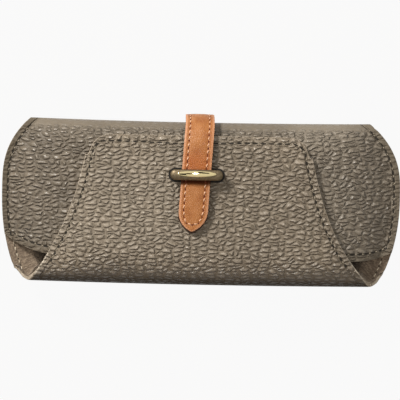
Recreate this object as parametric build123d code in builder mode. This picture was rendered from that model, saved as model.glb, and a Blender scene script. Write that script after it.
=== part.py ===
from build123d import *
from math import cos, radians, sin, sqrt
import os

# A soft glasses case that lies on its back. One sheet of leather makes the pocket's front,
# goes over the top fold, down the back, round the lower fold and up again as a tapered flap.
# A tan strap comes over the top fold and its tongue is tucked under a metal loop on the flap.
# +X is to the right, +Y is towards the top fold and +Z is out of the front. z = 0 is the
# back face, on which the case lies. Sizes are in millimetres and angles in degrees.

# Pocket
pouch_width = 174.2
pocket_thickness = 24.5
widest_y = 5.0
top_corner_y = 35.4
bottom_corner_y = -35.5
top_fold_y = 34.85
bottom_fold_y = -36.1
corner_draw = 11.8
side_power = 2.8
flat_half_width = 46.0
fold_proud = 0.25
rest_press = 0.05
mouth_y = -24.5
mouth_corner_y = -18.5
mouth_corner_run = 18.5
mouth_shoulder = (7.0, 3.5)
outline_count = 9
overrun = 2.0
fold_hinge_angle = 45.0

# Layers
leather = 1.3
board = 1.2
lining = 0.6
seam_width = 4.5
seam_hem = 1.0
seam_slit = 0.2
board_half_length = 44.0
board_half_height = 18.0

# Flap
flap_gap = 0.3
flap_lining_layer = 0.7
flap_edge_y = 28.8
flap_edge_half_width = 46.6
flap_fold_half_width = 75.4
flap_straightness = 0.3
flap_power = 2.6
flap_corner_radius = 5.0
slant_count = 6

# Strap
strap_width = 13.0
strap_bridge_width = 12.4
strap_face = 1.2
strap_backing = 1.0
strap_x = -1.4
strap_lean = 3.4
strap_gap = 0.6
strap_top_y = 38.3
strap_tip_y = -13.0
strap_point_length = 8.4
slit_angle = -56.0
slit_span = 9.5
root_tab_length = 10.0
root_tab_width = 11.0

# Loop and what holds it to the flap
loop_x = -2.1
loop_y = 11.8
loop_length = 23.8
loop_width = 5.0
loop_metal = 2.2
loop_shoulder = 3.2
loop_side_gap = 0.9
loop_top_gap = 0.5
loop_bevel = 0.7
plate_length = 23.4
plate_width = 4.4
plate_thickness = 0.45
rivet_spacing = 19.3
rivet_radius = 0.8
rivet_depth = 1.0

# Sizes that follow from those above
wall = leather + board + lining
seam_z = pocket_thickness / 2
seam_half = leather + lining
flap_thickness = leather + flap_lining_layer
flap_rise = flap_gap + flap_thickness
flap_face_z = pocket_thickness + flap_rise
top_radius = seam_z + fold_proud
top_centre = (top_fold_y - top_radius, seam_z)
flap_end_radius = top_radius + flap_rise
bottom_radius = flap_face_z / 2 + fold_proud
bottom_centre = (bottom_fold_y + bottom_radius, flap_face_z / 2)
strap_thickness = strap_face + strap_backing
strap_seat_z = flap_face_z + strap_gap
beyond = 60.0
beyond_side = pouch_width / 2 + overrun


def ring_point(centre, radius, angle):
    """Point (y, z) on a circle of the side view, with its angle measured from +Y."""
    return (
        centre[0] + radius * cos(radians(angle)),
        centre[1] + radius * sin(radians(angle)),
    )


def even_steps(start, end, count):
    """Numbers evenly spaced from start to end."""
    return [start + (end - start) * i / (count - 1) for i in range(count)]


def half_width(y):
    """Half of the pouch's width at y: widest at widest_y and drawn in towards the corners."""
    reach = top_corner_y - widest_y if y > widest_y else widest_y - bottom_corner_y
    return pouch_width / 2 - corner_draw * (abs(y - widest_y) / reach) ** side_power


def flap_half_width(y):
    """Half of the flap's width at y, from its free edge to the lower fold."""
    down = max(0.0, flap_edge_y - y) / (flap_edge_y - bottom_fold_y)
    widening = flap_straightness * down + (1 - flap_straightness) * down**flap_power
    return flap_edge_half_width + (flap_fold_half_width - flap_edge_half_width) * widening


def strap_circle():
    """Centre and radius of the strap's inner face, from the slit over the fold to the flap."""
    slit = ring_point(top_centre, top_radius, slit_angle + slit_span / 2)
    far_y = strap_top_y - strap_thickness
    out = far_y - slit[0]
    up = strap_seat_z - slit[1]
    radius = out + up - sqrt(2 * out * up)
    return (far_y - radius, strap_seat_z - radius), radius


strap_centre, strap_inner_radius = strap_circle()
strap_outer_radius = strap_inner_radius + strap_thickness

heights = even_steps(bottom_fold_y - overrun, top_fold_y + overrun, outline_count)


def outline_form(inset):
    """Upright block with the pouch's side outline, drawn in by inset."""
    with BuildPart() as form:
        with BuildSketch(Plane.XY.offset(-beyond)):
            with BuildLine():
                side = Spline([(half_width(y) - inset, y) for y in heights])
                Line(side @ 1, (0, (side @ 1).Y))
                Line(side @ 0, (0, (side @ 0).Y))
                mirror(about=Plane.YZ)
            make_face()
        extrude(amount=2 * beyond)
    return form.part


def lens(front, front_seam, back, back_seam, seam_inset):
    """Long solid with a lens section: flat in the middle and drawn in to the side seams."""
    seam_x = pouch_width / 2 - seam_inset
    with BuildPart() as body:
        with BuildSketch(Plane.XZ):
            with BuildLine():
                Line((0, front), (flat_half_width, front))
                TangentArc((flat_half_width, front), (seam_x, front_seam), tangent=(1, 0))
                Line((seam_x, front_seam), (beyond_side, front_seam))
                Line((beyond_side, front_seam), (beyond_side, back_seam))
                Line((beyond_side, back_seam), (seam_x, back_seam))
                TangentArc((flat_half_width, back), (seam_x, back_seam), tangent=(1, 0))
                Line((flat_half_width, back), (0, back))
                mirror(about=Plane.YZ)
            make_face()
        extrude(amount=beyond, both=True)
    return body.part


def pocket_form(inset):
    """The pocket's outer form, drawn in by inset on every side."""
    bottom = bottom_radius - inset
    top = top_radius - inset
    left = bottom_centre[0] - bottom
    front_z = top_centre[1] + top
    # The layers meet at the seam, and past it they lie flat on each other as a hem
    at_seam = max(seam_half - inset, seam_slit / 2)
    with BuildPart() as form:
        with BuildSketch(Plane.YZ):
            with BuildLine():
                Line((left, bottom_centre[1]), (left, front_z))
                Line((left, front_z), (top_centre[0], front_z))
                RadiusArc((top_centre[0], front_z), (top_centre[0] + top, top_centre[1]), top)
                RadiusArc(
                    (top_centre[0] + top, top_centre[1]), (top_centre[0], top_centre[1] - top), top
                )
                Line(
                    (top_centre[0], top_centre[1] - top),
                    (bottom_centre[0], bottom_centre[1] - bottom),
                )
                RadiusArc(
                    (bottom_centre[0], bottom_centre[1] - bottom), (left, bottom_centre[1]), bottom
                )
            make_face()
        extrude(amount=2 * beyond, both=True)
        add(
            lens(
                pocket_thickness - inset,
                seam_z + at_seam,
                inset - rest_press,
                seam_z - at_seam,
                seam_width,
            ),
            mode=Mode.INTERSECT,
        )
    return form.part


def flap_form(inset):
    """The flap's outer form, drawn in by inset: round the lower fold and over the pocket."""
    bottom = bottom_radius - inset
    end = flap_end_radius - inset
    left = bottom_centre[0] - bottom
    front_z = bottom_centre[1] + bottom
    low = bottom_centre[1] - bottom
    with BuildPart() as form:
        with BuildSketch(Plane.YZ):
            with BuildLine():
                RadiusArc((left, bottom_centre[1]), (bottom_centre[0], front_z), bottom)
                Line((bottom_centre[0], front_z), (top_centre[0], front_z))
                RadiusArc((top_centre[0], front_z), (top_centre[0] + end, top_centre[1]), end)
                Line((top_centre[0] + end, top_centre[1]), (top_centre[0] + end, low))
                Line((top_centre[0] + end, low), (bottom_centre[0], low))
                RadiusArc((bottom_centre[0], low), (left, bottom_centre[1]), bottom)
            make_face()
        extrude(amount=2 * beyond, both=True)
        add(
            lens(
                flap_face_z - inset,
                seam_z + seam_half + flap_rise - inset,
                inset,
                seam_z - seam_half + inset,
                seam_width,
            ),
            mode=Mode.INTERSECT,
        )
    return form.part


def strap_form(inset):
    """All that lies inside the strap's outer face, drawn in by inset."""
    radius = strap_outer_radius - inset
    with BuildPart() as form:
        with BuildSketch(Plane.YZ):
            with Locations(strap_centre):
                Circle(radius)
                Rectangle(2 * beyond, 2 * radius, align=(Align.MAX, Align.CENTER))
        extrude(amount=beyond, both=True)
    return form.part


# The forms that the layers are cut from. The outer one is pressed flat where the case rests
with BuildPart() as outer_form:
    add(pocket_form(0))
    split(bisect_by=Plane.XY, keep=Keep.TOP)

with BuildPart() as pocket_space:
    add(pocket_form(wall))
    add(outline_form(seam_width + seam_hem), mode=Mode.INTERSECT)

under_leather = pocket_form(leather)
under_board = pocket_form(leather + board)
side_outline = outline_form(0)
flap_outer = flap_form(0)
flap_under_leather = flap_form(leather)
flap_inner = flap_form(flap_thickness)

# Each fold turns on two hinge lines, one either side of its outermost line
lower_hinge_y = ring_point(bottom_centre, bottom_radius, 180 + fold_hinge_angle)[0]
with BuildPart() as lower_spine:
    with Locations((0, lower_hinge_y, 0)):
        Box(3 * beyond, beyond, 2 * beyond, align=(Align.CENTER, Align.MAX, Align.CENTER))

# The strap's stretch between its hinge lines, as a wedge of the side view
with BuildPart() as strap_wedge:
    with BuildSketch(Plane.YZ):
        with BuildLine():
            Polyline(
                strap_centre,
                ring_point(strap_centre, beyond, -fold_hinge_angle),
                ring_point(strap_centre, beyond, fold_hinge_angle),
                close=True,
            )
        make_face()
    extrude(amount=beyond, both=True)

# Everything in front of the seam that lies below the pocket's mouth
with BuildPart() as below_mouth:
    with BuildSketch(Plane.XY.offset(seam_z)):
        with BuildLine():
            corner_x = half_width(mouth_corner_y)
            edge = Spline(
                (corner_x + 2 * mouth_shoulder[0], mouth_corner_y + 2 * mouth_shoulder[1]),
                (corner_x, mouth_corner_y),
                (corner_x - mouth_shoulder[0], mouth_corner_y - mouth_shoulder[1]),
                (corner_x - mouth_corner_run, mouth_y),
            )
            Line(edge @ 1, (0, mouth_y))
            Line(edge @ 0, (corner_x + 2 * mouth_shoulder[0], -beyond))
            Line((corner_x + 2 * mouth_shoulder[0], -beyond), (0, -beyond))
            mirror(about=Plane.YZ)
        make_face()
    extrude(amount=beyond)

# The flap's outline, from the middle of the lower fold to its rounded free end
with BuildPart() as flap_outline:
    with BuildSketch(Plane.XY.offset(bottom_centre[1])):
        with BuildLine():
            slant = Spline(
                [(flap_half_width(y), y) for y in even_steps(bottom_fold_y - overrun, flap_edge_y, slant_count)]
            )
            mirror(about=Plane.YZ)
            Line(slant @ 0, (-(slant @ 0).X, (slant @ 0).Y))
            Line(slant @ 1, (-(slant @ 1).X, (slant @ 1).Y))
        make_face()
        fillet(vertices().group_by(Axis.Y)[-1], flap_corner_radius)
    extrude(amount=beyond)

# Strap root: it comes out of a slit behind the top fold, and its thin end is sewn in the wall
with BuildPart() as strap_root:
    with BuildSketch(Plane.YZ.offset(strap_x)):
        with BuildLine():
            Polyline(
                ring_point(strap_centre, strap_inner_radius, -fold_hinge_angle),
                ring_point(strap_centre, strap_outer_radius, -fold_hinge_angle),
                ring_point(top_centre, top_radius, slit_angle),
                ring_point(top_centre, top_radius - leather - board, slit_angle),
                ring_point(top_centre, top_radius - leather - board, slit_angle + slit_span),
                ring_point(top_centre, top_radius, slit_angle + slit_span),
                close=True,
            )
        make_face()
    extrude(amount=strap_bridge_width / 2, both=True)

with BuildPart() as root_tab:
    add(under_leather)
    add(under_board, mode=Mode.SUBTRACT)
    tab_end = ring_point(top_centre, top_radius, slit_angle + slit_span / 2)
    with Locations((strap_x, tab_end[0], 0)):
        Box(
            root_tab_width,
            root_tab_length + tab_end[0] - top_centre[0],
            seam_z,
            align=(Align.CENTER, Align.MAX, Align.MIN),
            mode=Mode.INTERSECT,
        )

with strap_root:
    add(root_tab.part)

# Shell leather: front panel, top fold and back panel in one sheet
with BuildPart() as shell_leather:
    add(outer_form.part)
    add(under_leather, mode=Mode.SUBTRACT)
    add(side_outline, mode=Mode.INTERSECT)
    add(below_mouth.part, mode=Mode.SUBTRACT)
    add(lower_spine.part, mode=Mode.SUBTRACT)
    add(strap_root.part, mode=Mode.SUBTRACT)

# Boards that keep the two panels flat, between the leather and the lining
with BuildPart() as front_board:
    add(under_leather)
    add(under_board, mode=Mode.SUBTRACT)
    with Locations((0, 0, seam_z)):
        Box(
            2 * board_half_length,
            2 * board_half_height,
            pocket_thickness,
            align=(Align.CENTER, Align.CENTER, Align.MIN),
            mode=Mode.INTERSECT,
        )

with BuildPart() as back_board:
    add(under_leather)
    add(under_board, mode=Mode.SUBTRACT)
    with Locations((0, 0, seam_z)):
        Box(
            2 * board_half_length,
            2 * board_half_height,
            pocket_thickness,
            align=(Align.CENTER, Align.CENTER, Align.MAX),
            mode=Mode.INTERSECT,
        )
    add(strap_root.part, mode=Mode.SUBTRACT)

# Pocket lining: padded suede inside the leather, which also lines the back below the mouth
with BuildPart() as pocket_lining:
    add(under_leather)
    add(pocket_space.part, mode=Mode.SUBTRACT)
    add(side_outline, mode=Mode.INTERSECT)
    add(below_mouth.part, mode=Mode.SUBTRACT)
    add(lower_spine.part, mode=Mode.SUBTRACT)
    add(front_board.part, mode=Mode.SUBTRACT)
    add(back_board.part, mode=Mode.SUBTRACT)
    add(strap_root.part, mode=Mode.SUBTRACT)


def spine_layer(outer, inner):
    """One layer of the lower fold between its hinge lines, trimmed as the panels it joins."""
    with BuildPart() as back_half:
        add(outer)
        add(inner, mode=Mode.SUBTRACT)
        add(lower_spine.part, mode=Mode.INTERSECT)
        add(side_outline, mode=Mode.INTERSECT)
        split(bisect_by=Plane.XY.offset(bottom_centre[1]), keep=Keep.BOTTOM)
    with BuildPart() as layer:
        add(outer)
        add(inner, mode=Mode.SUBTRACT)
        add(lower_spine.part, mode=Mode.INTERSECT)
        add(flap_outline.part, mode=Mode.INTERSECT)
        add(back_half.part)
    return layer.part


def flap_layer(outer, inner):
    """One layer of the flap, from its hinge line over the pocket's front to the free edge."""
    with BuildPart() as layer:
        add(outer)
        add(inner, mode=Mode.SUBTRACT)
        add(flap_outline.part, mode=Mode.INTERSECT)
        add(lower_spine.part, mode=Mode.SUBTRACT)
    return layer.part


# Loop: a metal bridge that spans the strap, with its feet on the flap
loop_inner_half = strap_width / 2 + loop_side_gap
loop_inner_z = strap_seat_z + strap_thickness + loop_top_gap
loop_top_z = loop_inner_z + loop_metal
loop_shoulder_half = loop_length / 2 - loop_shoulder

with BuildPart() as bridge_loop:
    with BuildSketch(Plane.XZ.offset(-loop_y)):
        with BuildLine():
            Line((loop_x - loop_length / 2, flap_face_z), (loop_x - loop_inner_half, flap_face_z))
            Line((loop_x - loop_inner_half, flap_face_z), (loop_x - loop_inner_half, loop_inner_z))
            Line((loop_x - loop_inner_half, loop_inner_z), (loop_x + loop_inner_half, loop_inner_z))
            Line((loop_x + loop_inner_half, loop_inner_z), (loop_x + loop_inner_half, flap_face_z))
            Line((loop_x + loop_inner_half, flap_face_z), (loop_x + loop_length / 2, flap_face_z))
            right_toe = Line(
                (loop_x + loop_length / 2, flap_face_z),
                (loop_x + loop_length / 2, flap_face_z + loop_bevel),
            )
            left_toe = Line(
                (loop_x - loop_length / 2, flap_face_z),
                (loop_x - loop_length / 2, flap_face_z + loop_bevel),
            )
            right_slope = Line(
                right_toe @ 1, (loop_x + loop_shoulder_half, loop_top_z - loop_bevel)
            )
            left_slope = Line(
                left_toe @ 1, (loop_x - loop_shoulder_half, loop_top_z - loop_bevel)
            )
            ThreePointArc(left_slope @ 1, (loop_x, loop_top_z), right_slope @ 1)
        make_face()
    extrude(amount=loop_width / 2, both=True)
    with BuildSketch(Plane.XY.offset(flap_face_z)):
        with Locations((loop_x, loop_y)):
            SlotOverall(loop_length, loop_width)
    extrude(amount=beyond, mode=Mode.INTERSECT)
    chamfer(faces().sort_by(Axis.Z)[-1].edges(), loop_bevel)
    with BuildSketch(Plane.XY.offset(flap_face_z)):
        with Locations((loop_x, loop_y)):
            with GridLocations(rivet_spacing, 0, 2, 1):
                Circle(rivet_radius)
    extrude(amount=rivet_depth, mode=Mode.SUBTRACT)

# Rivets: peened flush in the plate, with their shanks in the loop's feet
plate_top_z = flap_face_z - leather
plate_z = plate_top_z - plate_thickness

with BuildPart() as loop_rivets:
    with BuildSketch(Plane.XY.offset(plate_z)):
        with Locations((loop_x, loop_y)):
            with GridLocations(rivet_spacing, 0, 2, 1):
                Circle(rivet_radius)
    extrude(amount=plate_thickness + leather + rivet_depth)

# Plate: a steel strip under the leather that the rivets draw the loop against
with BuildPart() as loop_plate:
    with BuildSketch(Plane.XY.offset(plate_z)):
        with Locations((loop_x, loop_y)):
            SlotOverall(plate_length, plate_width)
    extrude(amount=plate_thickness)
    add(loop_rivets.part, mode=Mode.SUBTRACT)

# Flap and the lower fold that carries it
with BuildPart() as spine_leather:
    add(spine_layer(flap_outer, flap_under_leather))

with BuildPart() as spine_lining:
    add(spine_layer(flap_under_leather, flap_inner))

with BuildPart() as flap_leather:
    add(flap_layer(flap_outer, flap_under_leather))
    add(loop_rivets.part, mode=Mode.SUBTRACT)

with BuildPart() as flap_lining:
    add(flap_layer(flap_under_leather, flap_inner))
    add(loop_plate.part, mode=Mode.SUBTRACT)
    add(loop_rivets.part, mode=Mode.SUBTRACT)

# Outline of the strap's tongue: it leans a little as it lies and ends in a point
lean_plane = Plane(
    origin=(strap_x, flap_edge_y, strap_centre[1]),
    x_dir=(cos(radians(strap_lean)), -sin(radians(strap_lean)), 0),
    z_dir=(0, 0, 1),
)
tip_run = (flap_edge_y - strap_tip_y) / cos(radians(strap_lean))
point_start = strap_point_length - tip_run

with BuildPart() as tongue_outline:
    with BuildSketch(lean_plane):
        with BuildLine():
            Line((0, beyond / 3), (strap_width / 2, beyond / 3))
            straight = Line((strap_width / 2, beyond / 3), (strap_width / 2, point_start))
            TangentArc(straight @ 1, (0, -tip_run), tangent=straight % 1)
            mirror(about=Plane.YZ)
        make_face()
    extrude(amount=beyond)


def tongue_layer(outer, inner):
    """One layer of the strap from the upper hinge line to the tip."""
    with BuildPart() as layer:
        add(strap_form(outer))
        add(strap_form(inner), mode=Mode.SUBTRACT)
        add(tongue_outline.part, mode=Mode.INTERSECT)
        add(strap_wedge.part, mode=Mode.SUBTRACT)
    return layer.part


def strap_bridge_layer(outer, inner):
    """One layer of the strap between the two hinge lines over the top fold."""
    with BuildPart() as layer:
        add(strap_form(outer))
        add(strap_form(inner), mode=Mode.SUBTRACT)
        add(strap_wedge.part, mode=Mode.INTERSECT)
        with Locations((strap_x, *strap_centre)):
            Box(strap_bridge_width, 2 * beyond, 2 * beyond, mode=Mode.INTERSECT)
    return layer.part


with BuildPart() as strap_bridge_face:
    add(strap_bridge_layer(0, strap_face))

with BuildPart() as strap_bridge_backing:
    add(strap_bridge_layer(strap_face, strap_thickness))

with BuildPart() as strap_tongue_face:
    add(tongue_layer(0, strap_face))

with BuildPart() as strap_tongue_backing:
    add(tongue_layer(strap_face, strap_thickness))

# Write one file per piece
pieces = {
    "shell_leather": shell_leather,
    "pocket_lining": pocket_lining,
    "front_board": front_board,
    "back_board": back_board,
    "strap_root": strap_root,
    "spine_leather": spine_leather,
    "spine_lining": spine_lining,
    "flap_leather": flap_leather,
    "flap_lining": flap_lining,
    "bridge_loop": bridge_loop,
    "loop_plate": loop_plate,
    "loop_rivets": loop_rivets,
    "strap_bridge_face": strap_bridge_face,
    "strap_bridge_backing": strap_bridge_backing,
    "strap_tongue_face": strap_tongue_face,
    "strap_tongue_backing": strap_tongue_backing,
}
os.makedirs("parts", exist_ok=True)
for name, piece in pieces.items():
    piece.part.label = name
    export_step(piece.part, f"parts/{name}.step")

# Where the four hinge lines lie, as y and z
for fold, centre, radius, angle in (
    ("flap lower", bottom_centre, bottom_radius, 180 + fold_hinge_angle),
    ("flap upper", bottom_centre, bottom_radius, 180 - fold_hinge_angle),
    ("strap lower", strap_centre, strap_outer_radius, -fold_hinge_angle),
    ("strap upper", strap_centre, strap_outer_radius, fold_hinge_angle),
):
    y, z = ring_point(centre, radius, angle)
    print(f"{fold} hinge line: y {y:.3f}, z {z:.3f}")
print(f"flap face z {flap_face_z:.2f}, strap face z {strap_seat_z + strap_thickness:.2f}")
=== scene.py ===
"""Dresses the glasses case: pebbled leather, suede lining, tan strap, metal loop and all its sewing.

Lengths in the form classes are millimetres in the case's own frame: +X along the case, +Y towards the
top fold and +Z out of the front. They are turned to metres where a mesh is finished.
"""

import logging
import math
from dataclasses import dataclass
from enum import Enum
from functools import partial
from typing import Callable, Optional, Sequence

import bmesh
import bpy
from mathutils import Matrix, Vector, noise

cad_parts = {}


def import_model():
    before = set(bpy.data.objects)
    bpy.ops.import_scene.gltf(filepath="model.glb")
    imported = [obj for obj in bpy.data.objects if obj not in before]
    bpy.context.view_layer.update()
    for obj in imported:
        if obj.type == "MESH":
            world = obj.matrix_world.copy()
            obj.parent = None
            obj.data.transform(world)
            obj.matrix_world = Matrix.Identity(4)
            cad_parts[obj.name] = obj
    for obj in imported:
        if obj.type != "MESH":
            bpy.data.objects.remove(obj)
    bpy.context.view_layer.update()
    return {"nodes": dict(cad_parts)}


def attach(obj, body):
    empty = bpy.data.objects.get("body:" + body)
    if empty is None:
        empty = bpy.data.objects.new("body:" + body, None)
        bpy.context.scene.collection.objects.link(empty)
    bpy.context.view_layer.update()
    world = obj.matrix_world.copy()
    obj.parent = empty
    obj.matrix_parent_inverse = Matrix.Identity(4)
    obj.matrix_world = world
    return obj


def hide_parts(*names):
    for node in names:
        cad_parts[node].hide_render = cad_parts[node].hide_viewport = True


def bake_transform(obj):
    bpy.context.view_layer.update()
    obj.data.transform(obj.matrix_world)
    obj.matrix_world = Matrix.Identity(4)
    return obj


MM = 0.001
SLOPE_STEP = 0.2
NORMAL_STEP = 0.4
LOG = logging.getLogger("glasses_case")

Curve = Callable[[float], float]
SurfacePoint = Callable[[float, float], Vector]
NodeMaker = Callable[..., bpy.types.Node]


class Body(str, Enum):
    """The bodies that pieces ride on."""

    POUCH = "pouch"
    FLAP_SPINE = "flap_spine"
    FLAP = "flap"
    STRAP_BRIDGE = "strap_bridge"
    STRAP_TONGUE = "strap_tongue"


class Slot(str, Enum):
    """Names of finish slots; no piece here is given one."""

    CASE_LEATHER = "case_leather"
    SUEDE = "suede_lining"
    STRAP_LEATHER = "strap_leather"
    LOOP_METAL = "loop_metal"


def linear(hex_colour: str) -> tuple[float, float, float, float]:
    """Turn an sRGB hex colour to linear light.

    Args:
        hex_colour: Six hex digits, with or without a leading hash.

    Returns:
        Linear red, green and blue, and an alpha of 1.
    """
    digits = hex_colour.lstrip("#")
    channels = [int(digits[i : i + 2], 16) / 255 for i in (0, 2, 4)]
    straight = [c / 12.92 if c <= 0.04045 else ((c + 0.055) / 1.055) ** 2.4 for c in channels]
    return (*straight, 1.0)


def smooth_step(low: float, high: float, value: float) -> float:
    """Ease from 0 at low to 1 at high."""
    share = min(1.0, max(0.0, (value - low) / (high - low)))
    return share * share * (3 - 2 * share)


def even_steps(start: float, end: float, count: int) -> list[float]:
    """Give count + 1 numbers evenly spaced from start to end."""
    return [start + (end - start) * i / count for i in range(count + 1)]


def quarter_round(past: float) -> float:
    """Height of a quarter round of radius 1 at a share of its run."""
    return math.sqrt(max(0.0, 1 - past * past))


def slope_length(curve: Curve, at: float) -> float:
    """Length of a curve to each millimetre of its axis at a place: 1 where it is level."""
    slope = (curve(at + SLOPE_STEP) - curve(at - SLOPE_STEP)) / (2 * SLOPE_STEP)
    return math.sqrt(1 + slope * slope)


@dataclass(frozen=True)
class CaseForm:
    """The soft form of the case: where every point of the leather lies."""

    half_length: float = 87.0
    half_thickness: float = 12.25
    widest_y: float = 5.0
    top_corner_y: float = 35.4
    bottom_corner_y: float = -35.8
    top_middle_y: float = 34.6
    bottom_middle_y: float = -36.4
    corner_x: float = 75.0
    corner_draw: float = 12.7
    lower_draw: float = 8.8
    upper_power: float = 2.7
    lower_power: float = 2.4
    corner_shift: float = -0.9
    lower_shift: float = -0.7
    corner_rise: float = 2.0
    corner_start: float = 73.0
    corner_limit: float = 1.3
    flat_half: float = 46.0
    seam_inset: float = 4.0
    seam_half: float = 1.9
    seam_z: float = 12.25
    flap_rise: float = 2.3
    mouth_y: float = -24.6
    mouth_turn_x: float = 58.0
    mouth_corner_x: float = 84.5
    mouth_corner_rise: float = 6.1
    mouth_power: float = 2.78
    mouth_skew: float = -1.9
    flap_edge_y: float = 28.5
    flap_edge_half: float = 47.4
    flap_fold_half: float = 75.2
    flap_straightness: float = 0.45
    flap_power: float = 3.0
    flap_shift: float = -1.15
    flap_shift_end: float = 0.3
    flap_corner: float = 9.0
    fold_sample: float = 6.5
    fold_draw_turn: float = -145.0
    fold_middle_turn: float = -180.0
    softness: float = 0.55
    dent_size: float = 34.0
    settle_rounds: int = 4

    def lower_middle_z(self) -> float:
        """Height of the middle of the lower fold's round."""
        return self.seam_z + self.flap_rise / 2

    def below_widest(self, y: float) -> float:
        """Share of the way from the widest place down to the lower corners."""
        return (self.widest_y - y) / (self.widest_y - self.bottom_corner_y)

    def above_widest(self, y: float) -> float:
        """Share of the way from the widest place up to the top corners."""
        return (y - self.widest_y) / (self.top_corner_y - self.widest_y)

    def half_width(self, y: float) -> float:
        """Half of the pouch's width at y.

        Args:
            y: Where across the case.

        Returns:
            Half of the width.
        """
        if y > self.widest_y:
            return self.half_length - self.corner_draw * self.above_widest(y) ** self.upper_power
        return self.half_length - self.lower_draw * self.below_widest(y) ** self.lower_power

    def middle(self, y: float) -> float:
        """X of the pouch's middle line at y: its top and its bottom are cut a little to the left."""
        up = max(0.0, self.above_widest(y))
        down = max(0.0, self.below_widest(y))
        return self.corner_shift * up * up + self.lower_shift * down * down

    def flap_half_width(self, y: float) -> float:
        """Half of the flap's width at y, from its free edge down to the fold."""
        down = max(0.0, self.flap_edge_y - y) / (self.flap_edge_y - self.bottom_middle_y)
        widening = self.flap_straightness * down + (1 - self.flap_straightness) * down**self.flap_power
        return self.flap_edge_half + (self.flap_fold_half - self.flap_edge_half) * widening

    def flap_middle(self, y: float) -> float:
        """X of the flap's middle line at y: it is sewn a little to the left at its free end."""
        up = (y - self.bottom_middle_y) / (self.flap_edge_y - self.bottom_middle_y)
        return self.flap_shift * smooth_step(0.0, self.flap_shift_end, up)

    def top_y(self, x: float) -> float:
        """Outermost y of the top fold at x."""
        return self.top_middle_y + (self.top_corner_y - self.top_middle_y) * (x / self.corner_x) ** 2

    def bottom_y(self, x: float) -> float:
        """Outermost y of the lower fold at x, which rises round the lower corners.

        Args:
            x: Where along the case.

        Returns:
            The fold's lowest y.
        """
        room = self.half_length - self.lower_draw - self.corner_start
        past = min(self.corner_limit, max(0.0, abs(x) - self.corner_start) / room)
        bow = (self.bottom_corner_y - self.bottom_middle_y) * (x / self.corner_x) ** 2
        return self.bottom_middle_y + bow + self.corner_rise * past**3

    def mouth(self, x: float) -> float:
        """Y of the pocket's mouth edge at x, which rises at both ends.

        Args:
            x: Where along the case.

        Returns:
            The edge's y.
        """
        run = max(0.0, abs(x) - self.mouth_turn_x) / (self.mouth_corner_x - self.mouth_turn_x)
        skew = self.mouth_skew * x / self.mouth_corner_x * run
        return self.mouth_y + self.mouth_corner_rise * run**self.mouth_power + skew

    def swell(self, x: float, y: float) -> float:
        """Half of the pocket's thickness at a place: flat in the middle, thin at the side seams.

        Args:
            x: Where along the case.
            y: Where across it.

        Returns:
            Half of the thickness, which falls along a round arc.
        """
        run = self.half_width(y) - self.seam_inset - self.flat_half
        drop = self.half_thickness - self.seam_half
        radius = (run * run + drop * drop) / (2 * drop)
        past = max(0.0, abs(x - self.middle(y)) - self.flat_half)
        if past >= run:
            return self.seam_half
        return self.half_thickness - (radius - math.sqrt(radius * radius - past * past))

    def dent(self, x: float, y: float) -> float:
        """Depth of the soft unevenness of the front at a place."""
        unevenness = 0.5 + 0.5 * noise.noise(Vector((x / self.dent_size, y / self.dent_size, 0.0)))
        return self.softness * unevenness * (self.swell(x, y) / self.half_thickness)

    def top_depth(self, x: float) -> float:
        """How far the top fold's round reaches in y at x."""
        return self.swell(x, self.top_corner_y - self.fold_sample)

    def top_start(self, x: float) -> float:
        """Y at which the top fold's round starts at x."""
        return self.top_y(x) - self.top_depth(x)

    def bottom_depth(self, x: float) -> float:
        """How far the lower fold's round reaches in y at x."""
        return self.swell(x, self.bottom_corner_y + self.fold_sample) + self.flap_rise / 2

    def bottom_start(self, x: float) -> float:
        """Y at which the lower fold's round starts at x."""
        return self.bottom_y(x) + self.bottom_depth(x)

    def front_z(self, x: float, y: float) -> float:
        """Height of the pocket's front at a place."""
        past = max(0.0, y - self.top_start(x)) / self.top_depth(x)
        return self.seam_z + (self.swell(x, y) - self.dent(x, y)) * quarter_round(past)

    def flap_z(self, x: float, y: float) -> float:
        """Height of the flap's outer face at a place.

        Args:
            x: Where along the case.
            y: Where across it.

        Returns:
            The height, over the pocket, above the top fold's start or round the lower fold.
        """
        past = max(0.0, y - self.top_start(x)) / (self.top_depth(x) + self.flap_rise)
        if past > 0:
            rise = (self.swell(x, y) + self.flap_rise) * quarter_round(past)
            return self.seam_z + rise - self.dent(x, y)
        below = max(0.0, self.bottom_start(x) - y) / self.bottom_depth(x)
        rise = self.swell(x, y) + self.flap_rise / 2 - self.dent(x, y)
        return self.lower_middle_z() + rise * quarter_round(below)

    def back_z(self, x: float, y: float) -> float:
        """Height of the back's outer face at a place, round the lower fold as well.

        Args:
            x: Where along the case.
            y: Where across it.

        Returns:
            The height.
        """
        below = max(0.0, self.bottom_start(x) - y) / self.bottom_depth(x)
        if below > 0:
            rise = (self.swell(x, y) + self.flap_rise / 2) * quarter_round(below)
            return self.lower_middle_z() - rise
        return self.seam_z - self.swell(x, y)

    def settle(self, across: float, width: Curve, height: Curve, middle: Curve) -> tuple[float, float]:
        """Find the x and y of a place that is a given share across a width that changes with y.

        Args:
            across: Share of the half-width, from -1 at the left to 1 at the right.
            width: Half-width at a y.
            height: Y at an x.
            middle: X of the middle line at a y.

        Returns:
            The place's x and y.
        """
        x = 0.0
        y = height(x)
        for _ in range(self.settle_rounds):
            x = middle(y) + across * width(y)
            y = height(x)
        return x, y

    def back_start_unroll(self, x: float) -> float:
        """Place along the flat pattern at which the back starts, past the top fold."""
        return self.top_start(x) + self.top_depth(x) * math.pi

    def top_unroll(self, place: Vector, turn: float) -> float:
        """Place of a point of the top fold along the flat pattern."""
        return self.top_start(place.x) + self.top_depth(place.x) * math.radians(90 - turn)

    def back_unroll(self, place: Vector, down: float) -> float:
        """Place of a point of the back along the flat pattern."""
        return self.back_start_unroll(place.x) + self.top_start(place.x) - place.y

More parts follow.
